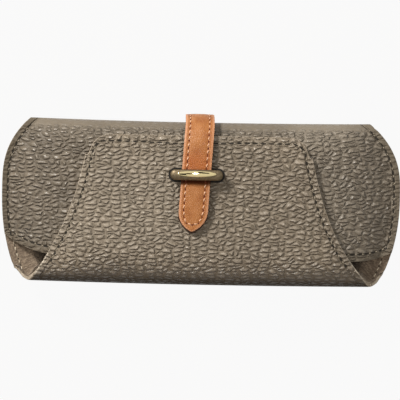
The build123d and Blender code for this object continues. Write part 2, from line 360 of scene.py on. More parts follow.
    def lower_unroll(self, place: Vector, turn: float) -> float:
        """Place of a point of the lower fold's back half along the flat pattern."""
        back = self.back_start_unroll(place.x) + self.top_start(place.x) - self.bottom_start(place.x)
        return back + self.bottom_depth(place.x) * math.radians(-90 - turn)

    def flap_fold_unroll(self, place: Vector, turn: float) -> float:
        """Place of a point of the lower fold's front half along the flat pattern."""
        return self.bottom_start(place.x) - self.bottom_depth(place.x) * math.radians(turn + 270)

    def front_point(self, across: float, up: float) -> Vector:
        """Point of the pocket's front: up runs from 0 at the mouth to 1 where the top fold starts."""
        def height(x: float) -> float:
            low = self.mouth(x)
            return low + up * (self.top_start(x) - low)

        x, y = self.settle(across, self.half_width, height, self.middle)
        return Vector((x, y, self.front_z(x, y)))

    def top_fold_point(self, across: float, turn: float) -> Vector:
        """Point of the top fold.

        Args:
            across: Share of the half-width, from -1 at the left to 1 at the right.
            turn: From 90 at the front to -90 at the back, in degrees.

        Returns:
            The point.
        """
        def height(x: float) -> float:
            return self.top_start(x) + self.top_depth(x) * math.cos(math.radians(turn))

        x, y = self.settle(across, self.half_width, height, self.middle)
        rise = self.swell(x, y)
        if turn > 0:
            rise -= self.dent(x, y) * math.sin(math.radians(turn))
        return Vector((x, y, self.seam_z + rise * math.sin(math.radians(turn))))

    def back_point(self, across: float, down: float) -> Vector:
        """Point of the back: down runs from 0 at the top fold to 1 where the lower fold starts."""
        def height(x: float) -> float:
            start = self.top_start(x)
            return start + down * (self.bottom_start(x) - start)

        x, y = self.settle(across, self.half_width, height, self.middle)
        return Vector((x, y, self.seam_z - self.swell(x, y)))

    def lower_fold_point(self, across: float, turn: float) -> Vector:
        """Point of the lower fold, whose back half is drawn in to the flap's width.

        Args:
            across: Share of the half-width, from -1 at the left to 1 at the right.
            turn: From -90 at the back, by -180, to -270 at the flap, in degrees.

        Returns:
            The point.
        """
        drawn = smooth_step(self.fold_draw_turn, self.fold_middle_turn, turn)
        on_flap = turn < self.fold_middle_turn

        def height(x: float) -> float:
            return self.bottom_start(x) + self.bottom_depth(x) * math.cos(math.radians(turn))

        def back_width(y: float) -> float:
            return self.half_width(y) + drawn * (self.flap_fold_half - self.half_width(y))

        def back_middle(y: float) -> float:
            return self.middle(y) * (1 - drawn)

        width = self.flap_half_width if on_flap else back_width
        x, y = self.settle(across, width, height, self.flap_middle if on_flap else back_middle)
        rise = self.swell(x, y) + self.flap_rise / 2
        if on_flap:
            rise -= self.dent(x, y) * math.sin(math.radians(turn))
        return Vector((x, y, self.lower_middle_z() + rise * math.sin(math.radians(turn))))

    def flap_point(self, across: float, up: float) -> Vector:
        """Point of the flap, whose free edge has round corners.

        Args:
            across: Share of the half-width, from -1 at the left to 1 at the right.
            up: From 0 where the lower fold ends to 1 at the free edge.

        Returns:
            The point.
        """
        half = self.flap_half_width(self.flap_edge_y) - self.flap_corner

        def height(x: float) -> float:
            past = min(1.0, max(0.0, abs(x - self.flap_shift) - half) / self.flap_corner)
            edge = self.flap_edge_y - self.flap_corner * (1 - quarter_round(past))
            low = self.bottom_start(x)
            return low + up * (edge - low)

        x, y = self.settle(across, self.flap_half_width, height, self.flap_middle)
        return Vector((x, y, self.flap_z(x, y)))


@dataclass(frozen=True)
class Station:
    """One row of a sheet: a function that gives its points, and where along its stretch it lies."""

    place: Callable[[float, float], Vector]
    along: float
    unroll: Callable[[Vector, float], float] = lambda place, along: place.y

    def point(self, across: float) -> Vector:
        """Point of this row at a share across the sheet."""
        return self.place(across, self.along)

    def pattern(self, place: Vector) -> tuple[float, float]:
        """Place of a point on the leather's flat pattern, in metres."""
        return place.x * MM, self.unroll(place, self.along) * MM


def add_node(tree: bpy.types.NodeTree, kind: str, links: Optional[dict] = None,
             stops: Sequence[tuple[float, str]] = (), **settings: object) -> bpy.types.Node:
    """Add one node with its settings, values and links.

    Args:
        tree: The tree that gets the node.
        kind: Blender's name of the node type, without the ShaderNode that it starts with.
        links: For each input, by name or number, a value, an output socket to link, or a node whose
            first output is linked.
        stops: The places and sRGB colours of a colour ramp.
        **settings: Properties of the node.

    Returns:
        The new node.
    """
    node = tree.nodes.new("ShaderNode" + kind)
    for name, value in settings.items():
        setattr(node, name, value)
    for name, value in (links or {}).items():
        source = value.outputs[0] if isinstance(value, bpy.types.Node) else value
        if isinstance(source, bpy.types.NodeSocket):
            tree.links.new(source, node.inputs[name])
        else:
            node.inputs[name].default_value = source
    if stops:
        elements = node.color_ramp.elements
        while len(elements) < len(stops):
            elements.new(0.5)
        for element, (place, colour) in zip(elements, stops):
            element.position = place
            element.color = linear(colour)
    return node


def new_material(name: str) -> tuple[bpy.types.Material, NodeMaker]:
    """Make an empty node material.

    Args:
        name: Its name.

    Returns:
        The material, and add_node for its own tree.
    """
    material = bpy.data.materials.new(name)
    material.use_nodes = True
    material.node_tree.nodes.clear()
    return material, partial(add_node, material.node_tree)


@dataclass(frozen=True)
class PebbledLeather:
    """Embossed leather, coated and satin: soft rounded pebbles, long in X, with creases between.

    Widths and reaches are millimetres on the leather: of the pebbles, of the slow wander and the
    ragged tearing that make them uneven, of the fine pores on them and of the clouds of tone.
    """

    name: str = "pebbled_leather"
    # value: overall brightness; the flap's and the shell's copies differ by it as painted light and painted
    # shade.
    value: float = 1.0
    pebble_long: float = 3.8
    pebble_short: float = 1.9
    # The ramp from crease to crown paints shade into the creases and a little light on the crowns, over the
    # grain's own tone.
    crease: str = "#665A4B"
    flank: str = "#786C5C"
    crown: str = "#85796A"
    # hem: dark colour of the hems and of the painted shade on the folds; raw: pale colour of the cut edge
    # and of painted light.
    hem: str = "#2C2319"
    raw: str = "#D8CBB8"
    relief: float = 1.0
    wander_width: float = 6.0
    wander: tuple[float, float] = (3.2, 1.6)
    ragged_width: float = 1.9
    ragged: tuple[float, float] = (1.08, 0.648)
    pore_width: float = 0.9
    pore_share: float = 0.24
    cloud_width: float = 16.0
    seam_reach: float = 0.7
    seam_depth: float = 0.7

    def nudge(self, add: NodeMaker, flat: bpy.types.Node, place: bpy.types.Node, width: float,
              reach: tuple[float, float]) -> bpy.types.Node:
        """Push pattern coordinates about, so that no pebble is like the next.

        Args:
            add: Adds a node to the material.
            flat: The flat pattern's coordinates.
            place: The coordinates to push.
            width: Width of the noise that pushes them.
            reach: How far it pushes them in X and in Y.

        Returns:
            The pushed coordinates.
        """
        push = add("TexNoise", {"Vector": flat, "Scale": 1 / (width * MM), "Detail": 1.0},
                   noise_dimensions="2D")
        centred = add("VectorMath", {0: push.outputs["Color"], 1: (0.5, 0.5, 0.5)}, operation="SUBTRACT")
        span = (reach[0] * MM, reach[1] * MM, 0.0)
        return add("VectorMath", {0: centred, 1: span, 2: place}, operation="MULTIPLY_ADD")

    def pebbles(self, add: NodeMaker, place: bpy.types.Node) -> bpy.types.Node:
        """Height of the pebbles, from 0 in the creases to 1 on the crowns.

        Args:
            add: Adds a node to the material.
            place: Pattern coordinates in metres.

        Returns:
            The node that gives the height.
        """
        grid = (1 / (self.pebble_long * MM), 1 / (self.pebble_short * MM), 1.0)
        scaled = add("Mapping", {"Vector": place, "Scale": grid})
        cells = {"Vector": scaled, "Scale": 1.0, "Randomness": 0.82}
        edges = add("TexVoronoi", cells, voronoi_dimensions="2D", feature="DISTANCE_TO_EDGE")
        centres = add("TexVoronoi", cells, voronoi_dimensions="2D", feature="F1")
        lip = add("MapRange", {"Value": edges, "From Max": 0.36}, interpolation_type="SMOOTHSTEP")
        squared = add("Math", {0: centres, 1: centres}, operation="MULTIPLY")
        dome = add("Math", {0: squared, 1: -1.1, 2: 1.0}, operation="MULTIPLY_ADD")
        return add("Math", {0: lip, 1: dome}, operation="MULTIPLY")

    def relief_of(self, add: NodeMaker, flat: bpy.types.Node, pebble: bpy.types.Node,
                  grain: bpy.types.NodeSocket, seam: bpy.types.NodeSocket) -> bpy.types.Node:
        """Raise the pebbles and their pores, and press the channel of the stitches.

        Args:
            add: Adds a node to the material.
            flat: The flat pattern's coordinates.
            pebble: Height of the pebbles.
            grain: Strength of the pebbles.
            seam: Distance from the row of stitches.

        Returns:
            The bump node.
        """
        pores = add("TexNoise", {"Vector": flat, "Scale": 1 / (self.pore_width * MM), "Detail": 3.0},
                    noise_dimensions="2D")
        height = add("Math", {0: pores, 1: self.pore_share, 2: pebble}, operation="MULTIPLY_ADD")
        shown = add("Math", {0: height, 1: grain}, operation="MULTIPLY")
        away = add("Math", {0: seam}, operation="ABSOLUTE")
        channel = add(
            "MapRange",
            {"Value": away, "From Max": self.seam_reach, "To Min": -self.seam_depth, "To Max": 0.0},
            interpolation_type="SMOOTHSTEP",
        )
        seam_channel_and_loop_shadow = add("Math", {0: shown, 1: channel}, operation="ADD")
        return add("Bump", {"Height": seam_channel_and_loop_shadow, "Strength": 1.0, "Distance": self.relief * MM})

    def make(self) -> bpy.types.Material:
        """Build the material on the sheet's own flat pattern, so the pebbles follow the folds."""
        material, add = new_material(self.name)
        flat = add("UVMap", uv_map="flat")
        grain, seam, hem, raw_edge_and_painted_light = (
            add("Attribute", attribute_name=name).outputs["Fac"]
            for name in ("grain", "seam", "hem", "tint")
        )
        pushed = self.nudge(add, flat, flat, self.wander_width, self.wander)
        torn = self.nudge(add, flat, pushed, self.ragged_width, self.ragged)
        pebble = self.pebbles(add, torn)
        bump = self.relief_of(add, flat, pebble, grain, seam)
        tone = add("Mix", {0: grain, 2: 0.5, 3: pebble}, data_type="FLOAT")
        # Painted shade in the creases and painted light on the crowns, by pebble height.
        colour = add("ValToRGB", {"Fac": tone},
                     stops=((0.0, self.crease), (0.4, self.flank), (1.0, self.crown)))
        cloud = add("TexNoise", {"Vector": flat, "Scale": 1 / (self.cloud_width * MM), "Detail": 3.0},
                    noise_dimensions="2D")
        varied = add(
            "MapRange",
            {"Value": cloud, "From Min": 0.3, "From Max": 0.7,
             "To Min": 0.9 * self.value, "To Max": 1.1 * self.value},
        )
        tinted = add("HueSaturation", {"Color": colour, "Value": varied, "Saturation": 1.0})
        # hem darkens the hems and paints shade on the folds, with the reflection dulled there too; tint
        # lightens towards raw for the pale raw edge and for painted light.
        hemmed = add("Mix", {0: hem, 6: tinted, 7: linear(self.hem)}, data_type="RGBA")
        shown = add("Mix", {0: raw_edge_and_painted_light, 6: hemmed.outputs[2], 7: linear(self.raw)}, data_type="RGBA")
        sheen = add("Math", {0: hem, 1: -0.42, 2: 1.5}, operation="MULTIPLY_ADD")
        gloss = add("MapRange", {"Value": pebble, "To Min": 0.62, "To Max": 0.34})
        shader = add(
            "BsdfPrincipled",
            {"Base Color": shown.outputs[2], "Roughness": gloss, "IOR": sheen,
             "Specular IOR Level": 0.6, "Normal": bump},
        )
        add("OutputMaterial", {"Surface": shader})
        return material


@dataclass(frozen=True)
class CutEdge:
    """The cut edge of coated leather: the pale woven backing shows under a thin skin."""

    pale: str = "#B3A594"
    dark: str = "#857865"
    fibre: float = 0.6
    relief: float = 0.1

    def make(self) -> bpy.types.Material:
        """Build the material on Object coordinates."""
        material, add = new_material("cut_leather_edge")
        place = add("TexCoord").outputs["Object"]
        fibre = add("TexNoise", {"Vector": place, "Scale": 1 / (self.fibre * MM), "Detail": 3.0})
        colour = add("ValToRGB", {"Fac": fibre}, stops=((0.35, self.dark), (0.6, self.pale)))
        bump = add("Bump", {"Height": fibre, "Strength": 0.6, "Distance": self.relief * MM})
        shader = add("BsdfPrincipled", {"Base Color": colour, "Roughness": 0.85, "Normal": bump})
        add("OutputMaterial", {"Surface": shader})
        return material


@dataclass(frozen=True)
class Suede:
    """Brushed suede cloth: a short brown nap that lies in small patches and scatters light."""

    deep: str = "#524436"
    middle: str = "#6F5F4F"
    tip: str = "#95836F"
    nap: float = 0.9
    patch: float = 9.0
    relief: float = 0.35

    def make(self) -> bpy.types.Material:
        """Build the material on the sheet's own flat pattern."""
        material, add = new_material("suede_lining")
        flat = add("UVMap", uv_map="flat")
        nap = add(
            "TexNoise",
            {"Vector": flat, "Scale": 1 / (self.nap * MM), "Detail": 4.0, "Roughness": 0.7},
            noise_dimensions="2D",
        )
        patches = add("TexNoise", {"Vector": flat, "Scale": 1 / (self.patch * MM), "Detail": 2.0},
                      noise_dimensions="2D")
        mixed = add("Math", {0: patches, 1: 0.35, 2: nap}, operation="MULTIPLY_ADD")
        colour = add("ValToRGB", {"Fac": mixed},
                     stops=((0.42, self.deep), (0.66, self.middle), (0.9, self.tip)))
        bump = add("Bump", {"Height": nap, "Strength": 0.9, "Distance": self.relief * MM})
        shader = add(
            "BsdfPrincipled",
            {"Base Color": colour, "Roughness": 0.95, "Sheen Weight": 0.35, "Sheen Roughness": 0.5,
             "Normal": bump},
        )
        add("OutputMaterial", {"Surface": shader})
        return material


@dataclass(frozen=True)
class StrapLeather:
    """Smooth tan leather, dyed and lightly waxed: a very fine grain and a soft uneven colour."""

    deep: str = "#90511F"
    middle: str = "#A2642C"
    light: str = "#B27646"
    # edge: painted highlight along the strap's rounded edges.
    edge: str = "#C98F68"
    bent: str = "#A4561A"
    # Colour of the loop's shadow, painted onto the strap below the loop.
    seam_channel_and_loop_shadow: str = "#34100A"
    pore: float = 0.75
    cloud: float = 7.0
    wrinkle_long: float = 9.0
    wrinkle_short: float = 0.8
    relief: float = 0.12

    def bump(self, add: NodeMaker, flat: bpy.types.Node, crease: bpy.types.Node,
             bent: bpy.types.NodeSocket) -> bpy.types.Node:
        """Raise the fine grain, and wrinkle the leather across the strap where it bends.

        Args:
            add: Adds a node to the material.
            flat: The flat pattern's coordinates.
            crease: Height of the fine grain.
            bent: How far the leather is bent.

        Returns:
            The bump node.
        """
        grid = (1 / (self.wrinkle_long * MM), 1 / (self.wrinkle_short * MM), 1.0)
        across = add("Mapping", {"Vector": flat, "Scale": grid})
        wrinkle = add("TexNoise", {"Vector": across, "Scale": 1.0, "Detail": 1.0}, noise_dimensions="2D")
        folded = add("Math", {0: wrinkle, 1: bent}, operation="MULTIPLY")
        height = add("Math", {0: folded, 1: 2.5, 2: crease}, operation="MULTIPLY_ADD")
        return add("Bump", {"Height": height, "Strength": 0.6, "Distance": self.relief * MM})

    def make(self) -> bpy.types.Material:
        """Build the material on the strap's own flat pattern."""
        material, add = new_material("tan_strap_leather")
        flat = add("UVMap", uv_map="flat")
        edge_highlight, bent, seam_channel_and_loop_shadow = (
            add("Attribute", attribute_name=name).outputs["Fac"] for name in ("hem", "tint", "mark")
        )
        pores = add("TexVoronoi", {"Vector": flat, "Scale": 1 / (self.pore * MM), "Randomness": 1.0},
                    voronoi_dimensions="2D", feature="DISTANCE_TO_EDGE")
        crease = add("MapRange", {"Value": pores, "From Min": 0.0, "From Max": 0.3},
                     interpolation_type="SMOOTHSTEP")
        cloud = add(
            "TexNoise",
            {"Vector": flat, "Scale": 1 / (self.cloud * MM), "Detail": 4.0, "Roughness": 0.6},
            noise_dimensions="2D",
        )
        mixed = add("Math", {0: crease, 1: 0.16, 2: cloud}, operation="MULTIPLY_ADD")
        colour = add("ValToRGB", {"Fac": mixed},
                     stops=((0.38, self.deep), (0.62, self.middle), (0.86, self.light)))
        shown = colour.outputs[0]
        # The loop's shadow is painted on under the loop, with its reflection dulled there.
        for share, stain in ((bent, self.bent), (edge_highlight, self.edge), (seam_channel_and_loop_shadow, self.seam_channel_and_loop_shadow)):
            shown = add("Mix", {0: share, 6: shown, 7: linear(stain)}, data_type="RGBA").outputs[2]
        loop_shadow_ior = add("Math", {0: seam_channel_and_loop_shadow, 1: -0.42, 2: 1.48}, operation="MULTIPLY_ADD")
        shader = add(
            "BsdfPrincipled",
            {"Base Color": shown, "Roughness": 0.48, "IOR": loop_shadow_ior,
             "Normal": self.bump(add, flat, crease, bent)},
        )
        add("OutputMaterial", {"Surface": shader})
        return material


@dataclass(frozen=True)
class PlainCoat:
    """A plain even surface with a faint mottle, such as thread, edge dye or the inside of a hole."""

    name: str
    dark: str
    light: str
    mottle: float = 0.8
    roughness: float = 0.8
    metallic: float = 0.0
    relief: float = 0.04

    def make(self) -> bpy.types.Material:
        """Build the material on Object coordinates."""
        material, add = new_material(self.name)
        place = add("TexCoord").outputs["Object"]
        mottle = add("TexNoise", {"Vector": place, "Scale": 1 / (self.mottle * MM), "Detail": 2.0})
        colour = add("ValToRGB", {"Fac": mottle}, stops=((0.35, self.dark), (0.65, self.light)))
        bump = add("Bump", {"Height": mottle, "Strength": 0.5, "Distance": self.relief * MM})
        shader = add(
            "BsdfPrincipled",
            {"Base Color": colour, "Roughness": self.roughness, "Metallic": self.metallic,
             "Normal": bump},
        )
        add("OutputMaterial", {"Surface": shader})
        return material


@dataclass(frozen=True)
class PolishedGold:
    """Die-cast metal plated pale gold and polished: clear reflections and a few hairlines."""

    base: str = "#E2D2A2"
    haze: float = 2.5

    def make(self) -> bpy.types.Material:
        """Build the material on Object coordinates."""
        material, add = new_material("pale_gold_plate")
        place = add("TexCoord").outputs["Object"]
        haze = add("TexNoise", {"Vector": place, "Scale": 1 / (self.haze * MM), "Detail": 3.0})
        gloss = add("MapRange", {"Value": haze, "To Min": 0.04, "To Max": 0.12})
        shader = add(
            "BsdfPrincipled", {"Base Color": linear(self.base), "Metallic": 1.0, "Roughness": gloss}
        )
        add("OutputMaterial", {"Surface": shader})
        return material


class Finishes:
    """Makes each finish once and hands it to the pieces."""

    def __init__(self) -> None:
        """Make every finish."""
        # The flap's copy is painted lighter and the shell's copy darker: lit and shaded copies of one
        # leather.
        self.leather = PebbledLeather(value=1.2).make()
        self.shell_leather = PebbledLeather("pebbled_leather_shell_shaded", 0.82, hem="#5E5549").make()
        self.cut_edge = CutEdge().make()
        self.suede = Suede().make()
        self.tan = StrapLeather().make()
        # Dark edge colour; round the strap's tip, where the underside flares out, it is a painted shadow
        # line.
        self.tan_edge_and_tip_shadow = PlainCoat("tan_strap_edge_and_tip_shadow", "#2E170C", "#472613", 1.2, 0.6).make()
        self.tan_back = PlainCoat("tan_strap_backing", "#9A6038", "#B47A4E", 2.0, 0.85).make()
        self.case_thread = PlainCoat("taupe_thread", "#7B705F", "#9C917F", 0.4, 0.7).make()
        self.lining_thread = PlainCoat("pale_thread", "#A8977F", "#D8CCB8", 0.4, 0.7).make()
        self.strap_thread = PlainCoat("cream_thread", "#CF9B78", "#E3BC9E", 0.4, 0.65).make()
        # Near-black discs of painted shade in the needle holes.
        self.case_hole_shade = PlainCoat("needle_hole_shade_taupe", "#17130D", "#2A231A", 0.5, 0.95).make()
        self.strap_hole_shade = PlainCoat("needle_hole_shade_tan", "#4A1C0A", "#6E2F12", 0.5, 0.95).make()
        self.gold = PolishedGold().make()
        self.bronze = PlainCoat("dull_gold_rim", "#665946", "#7D6F59", 1.0, 0.5, 1.0, 0.02).make()
        # Near-black ring of painted contact shadow round the loop.
        self.contact_shadow = PlainCoat("loop_seat_shadow", "#0E0B08", "#1A1510", 0.8, 0.9).make()
        self.steel = PlainCoat("plated_steel", "#8C8C8E", "#A8A8AA", 1.5, 0.35, 1.0).make()


def link_mesh(name: str, bm: bmesh.types.BMesh, materials: Sequence[bpy.types.Material],
              scale: float = MM) -> bpy.types.Object:
    """Turn a mesh in millimetres into an object in metres at the origin.

    Args:
        name: The piece's name.
        bm: The mesh, which is freed.
        materials: Its materials, by the faces' material numbers.
        scale: Metres to one unit of the mesh.

    Returns:
        The new object.
    """
    bmesh.ops.scale(bm, vec=(scale, scale, scale), verts=bm.verts)
    mesh = bpy.data.meshes.new(name)
    bm.to_mesh(mesh)
    bm.free()
    for material in materials:
        mesh.materials.append(material)
    obj = bpy.data.objects.new(name, mesh)
    bpy.context.scene.collection.objects.link(obj)
    LOG.info("%s: %d faces", name, len(mesh.polygons))
    return obj


def soften(bm: bmesh.types.BMesh, limit: float = 38.0) -> None:
    """Shade every face smooth, and keep the edges sharper than the limit, in degrees, crisp."""
    for face in bm.faces:
        face.smooth = True
    for edge in bm.edges:
        if len(edge.link_faces) == 2:
            edge.smooth = edge.calc_face_angle(0.0) < math.radians(limit)


def ring_edges(ring: Sequence[bmesh.types.BMVert], bm: bmesh.types.BMesh) -> list[bmesh.types.BMEdge]:
    """Edges of a closed ring of vertices, in order."""
    return [bm.edges.get(pair) for pair in zip(ring, [*ring[1:], ring[0]])]


def skin_rings(bm: bmesh.types.BMesh,
               rings: Sequence[Sequence[Vector]]) -> tuple[list[bmesh.types.BMVert], ...]:
    """Skin a stack of closed rings: the first is a circle put in place, and the rest are extruded.

    Args:
        bm: The mesh that gets the skin.
        rings: The places of each ring's vertices, as many in each ring.

    Returns:
        The vertices of the first and of the last ring.
    """
    circle = bmesh.ops.create_circle(bm, cap_ends=False, segments=len(rings[0]), radius=1.0)
    first = ring = circle["verts"]
    for number, places in enumerate(rings):
        if number > 0:
            grown = bmesh.ops.extrude_edge_only(bm, edges=ring_edges(ring, bm))["geom"]
            fresh = {item for item in grown if isinstance(item, bmesh.types.BMVert)}
            ring = [
                next(end for edge in vert.link_edges if (end := edge.other_vert(vert)) in fresh)
                for vert in ring
            ]
        for vert, place in zip(ring, places):
            vert.co = place
    return first, ring


@dataclass
class SheetPlan:
    """How a thick sheet is laid over the case's form."""

    name: str
    stations: list[Station]
    outset: float
    thickness: Callable[[Vector], float]
    columns: int = 130
    edge_round: float = 0.28
    edge_material: int = -1
    trim_rows: tuple[bool, bool] = (True, True)
    edge_crowding: float = 0.55
    grain: Callable[[Vector], float] = lambda place: 1.0
    seam: Callable[[Vector], float] = lambda place: 20.0
    # hem, tint and mark are colour masks: they carry the leather's tone, and painted light and shade as
    # well.
    hem: Callable[[Vector], float] = lambda place: 0.0
    tint: Callable[[Vector], float] = lambda place: 0.0
    mark: Callable[[Vector], float] = lambda place: 0.0
    # shadow_flare moves the underside out, so that its dark edge shows as painted shadow.
    shadow_flare: Callable[[Vector], Vector] = lambda place: Vector()

    def spread(self, share: float) -> float:
        """Place a column: columns crowd a little towards the side edges."""
        return (1 - self.edge_crowding) * share + self.edge_crowding * math.sin(share * math.pi / 2)


SHEET_ATTRIBUTES = ("grain", "seam", "hem", "tint", "mark")
SHEET_MIDDLE = Vector((0, 0, 12.25))
FACES_SAMPLED = 200
FACE_SIDE, EDGE_SIDE, INNER_SIDE = range(3)
RowOf = dict[bmesh.types.BMVert, int]


def lay_grid(bm: bmesh.types.BMesh, plan: SheetPlan) -> RowOf:
    """Lay a flat grid over the form, facing outwards, with its pattern and its attributes.

    Args:
        bm: The empty mesh that gets the grid.
        plan: Where the sheet lies.

    Returns:
        The row of each vertex.
    """
    rows = len(plan.stations) - 1
    bmesh.ops.create_grid(bm, x_segments=plan.columns, y_segments=rows, size=1.0)
    uv_layer = bm.loops.layers.uv.new("flat")
    layers = {name: bm.verts.layers.float.new(name) for name in SHEET_ATTRIBUTES}
    row_of = {vert: round((vert.co.y + 1) / 2 * rows) for vert in bm.verts}
    flat = {}
    for vert, row in row_of.items():
        vert.co = plan.stations[row].point(plan.spread(vert.co.x))
        for name, layer in layers.items():
            vert[layer] = getattr(plan, name)(vert.co)
        flat[vert] = plan.stations[row].pattern(vert.co)
    for face in bm.faces:
        for loop in face.loops:
            loop[uv_layer].uv = flat[loop.vert]
    bm.normal_update()
    sample = list(bm.faces)[:: max(1, len(bm.faces) // FACES_SAMPLED)]
    outward = sum(
        math.copysign(1, face.normal.dot(face.calc_center_median() - SHEET_MIDDLE)) for face in sample
    )
    if outward < 0:
        bmesh.ops.reverse_faces(bm, faces=bm.faces)
        bm.normal_update()
    return row_of


def thicken(bm: bmesh.types.BMesh, plan: SheetPlan, row_of: RowOf) -> list[bmesh.types.BMEdge]:
    """Give a laid grid its inner side, and close the wall between the two.

    Args:
        bm: The mesh that holds the grid.
        plan: How thick the sheet is.
        row_of: The grid's vertices.

    Returns:
        The edges round both sides.
    """
    normals = {vert: vert.normal.copy() for vert in row_of}
    copied = bmesh.ops.duplicate(bm, geom=list(bm.faces))
    for vert, normal in normals.items():
        inner = vert.co - normal * (plan.outset + plan.thickness(vert.co))
        copied["vert_map"][vert].co = inner + plan.shadow_flare(vert.co)
        vert.co -= normal * plan.outset
    inner_faces = [item for item in copied["geom"] if isinstance(item, bmesh.types.BMFace)]
    bmesh.ops.reverse_faces(bm, faces=inner_faces)
    for face in inner_faces:
        face.material_index = INNER_SIDE
    rim = [edge for edge in bm.edges if edge.is_boundary]
    for face in bmesh.ops.bridge_loops(bm, edges=rim)["faces"]:
        face.material_index = EDGE_SIDE
    return rim


def lay_sheet(plan: SheetPlan, materials: Sequence[bpy.types.Material]) -> bpy.types.Object:
    """Lay a thick sheet over the form and round its cut edges.

    Args:
        plan: Where the sheet lies and how thick it is.
        materials: Face side, cut edge and inner side.

    Returns:
        The finished sheet, with its flat pattern as a UV map and its grain as an attribute.
    """
    bm = bmesh.new()
    row_of = lay_grid(bm, plan)
    rim = thicken(bm, plan, row_of)
    kept_rows = {
        row for row, trimmed in zip((0, len(plan.stations) - 1), plan.trim_rows) if not trimmed
    }

    def is_cut(edge: bmesh.types.BMEdge) -> bool:
        """Say whether an edge lies on the face side and isn't where the next sheet goes on."""
        rows = {row_of.get(vert) for vert in edge.verts}
        return None not in rows and not (len(rows) == 1 and rows <= kept_rows)

    sharp = [edge for edge in rim if edge.is_valid and is_cut(edge)]
    if plan.edge_round > 0 and sharp:
        bmesh.ops.bevel(
            bm, geom=sharp, offset=plan.edge_round, offset_type="OFFSET", segments=3,
            profile=0.5, affect="EDGES", material=plan.edge_material, clamp_overlap=True,
        )
    soften(bm)
    return link_mesh(plan.name, bm, materials)


def on_surface(height: Callable[[float, float], float]) -> SurfacePoint:
    """Give the function that puts an x and y on a surface of a given height."""
    return lambda x, y: Vector((x, y, height(x, y)))


def facing(surface: SurfacePoint, side: int) -> Callable[[Vector], Vector]:
    """Give the function that finds a surface's outward direction at a point of it.

    Args:
        surface: Gives the surface's point at an x and y.
        side: 1 for a surface that faces up, -1 for one that faces down.

    Returns:
        A function from a point to a unit vector.
    """
    def normal_at(place: Vector) -> Vector:
        """Cross two short steps on the surface."""
        x, y = place.x, place.y
        along = surface(x + NORMAL_STEP, y) - surface(x - NORMAL_STEP, y)
        up = surface(x, y + NORMAL_STEP) - surface(x, y - NORMAL_STEP)
        normal = along.cross(up).normalized()
        return normal if normal.z * side > 0 else -normal

    return normal_at


def resample(points: Sequence[Vector], pitch: float) -> list[Vector]:
    """Walk along a line of points and give places a pitch apart, as near as the length allows.

    Args:
        points: The line.
        pitch: The distance wanted.

    Returns:
        The places, from the line's start to its end.
    """
    lengths = [0.0]
    for before, after in zip(points, points[1:]):
        lengths.append(lengths[-1] + (after - before).length)
    found = []
    index = 0
    for target in even_steps(0.0, lengths[-1], max(1, round(lengths[-1] / pitch))):
        while index < len(points) - 2 and lengths[index + 1] < target:
            index += 1
        span = lengths[index + 1] - lengths[index]
        share = (target - lengths[index]) / span if span else 0.0
        found.append(points[index].lerp(points[index + 1], min(1.0, max(0.0, share))))
    return found


@dataclass(frozen=True)
class StitchStyle:
    """How a row of machine stitches looks, in millimetres and degrees."""

    pitch: float = 3.4
    gap: float = 1.7
    thread: float = 0.27
    end_thickness: float = 0.62
    sink: float = 0.28
    rise: float = 0.06
    # The hole's dark disc is painted shade, long enough to stand for the shaded channel of the stitch.
    hole_long: float = 0.85
    hole_wide: float = 0.3
    hole_lift: float = 0.05
    slant: float = 8.0
    sides: int = 6
    steps: int = 6

    def thread_shape(self) -> bpy.types.Mesh:
        """Model one thread, bowed up between its two dips.

        Returns:
            Its mesh: X points out of the leather, Y aside, and Z runs along it from 0 to 1.
        """
        rings = []
        for share in even_steps(0, 1, self.steps):
            bow = math.sin(share * math.pi) ** 0.5 if 0 < share < 1 else 0.0
            height = -self.sink + (self.sink + self.rise) * bow
            thick = self.thread * (self.end_thickness + (1 - self.end_thickness) * bow)
            turns = even_steps(0, 2 * math.pi, self.sides)[:-1]
            rings.append(
                [Vector((height + math.sin(turn) * thick, math.cos(turn) * thick, share))
                 for turn in turns]
            )
        bm = bmesh.new()
        ends = skin_rings(bm, rings)
        for face in bm.faces:
            face.smooth = True
        for ring in ends:
            bmesh.ops.contextual_create(bm, geom=ring)
        bmesh.ops.recalc_face_normals(bm, faces=bm.faces)
        return shape_of(bm, "stitch_thread", Stitching.THREAD)

    def hole_shape(self) -> bpy.types.Mesh:
        """Model a dark disc of painted shade over a needle hole, 1 unit in radius, which faces up."""
        bm = bmesh.new()
        bmesh.ops.create_circle(bm, cap_ends=True, segments=8, radius=1.0)
        for face in bm.faces:
            face.normal_update()
            if face.normal.z < 0:
                face.normal_flip()
        return shape_of(bm, "needle_hole", Stitching.HOLE)


def shape_of(bm: bmesh.types.BMesh, name: str, material: int) -> bpy.types.Mesh:
    """Keep a small shape, all of one material, to be copied into other meshes."""
    for face in bm.faces:
        face.material_index = material
    mesh = bpy.data.meshes.new(name)
    bm.to_mesh(mesh)
    bm.free()
    return mesh


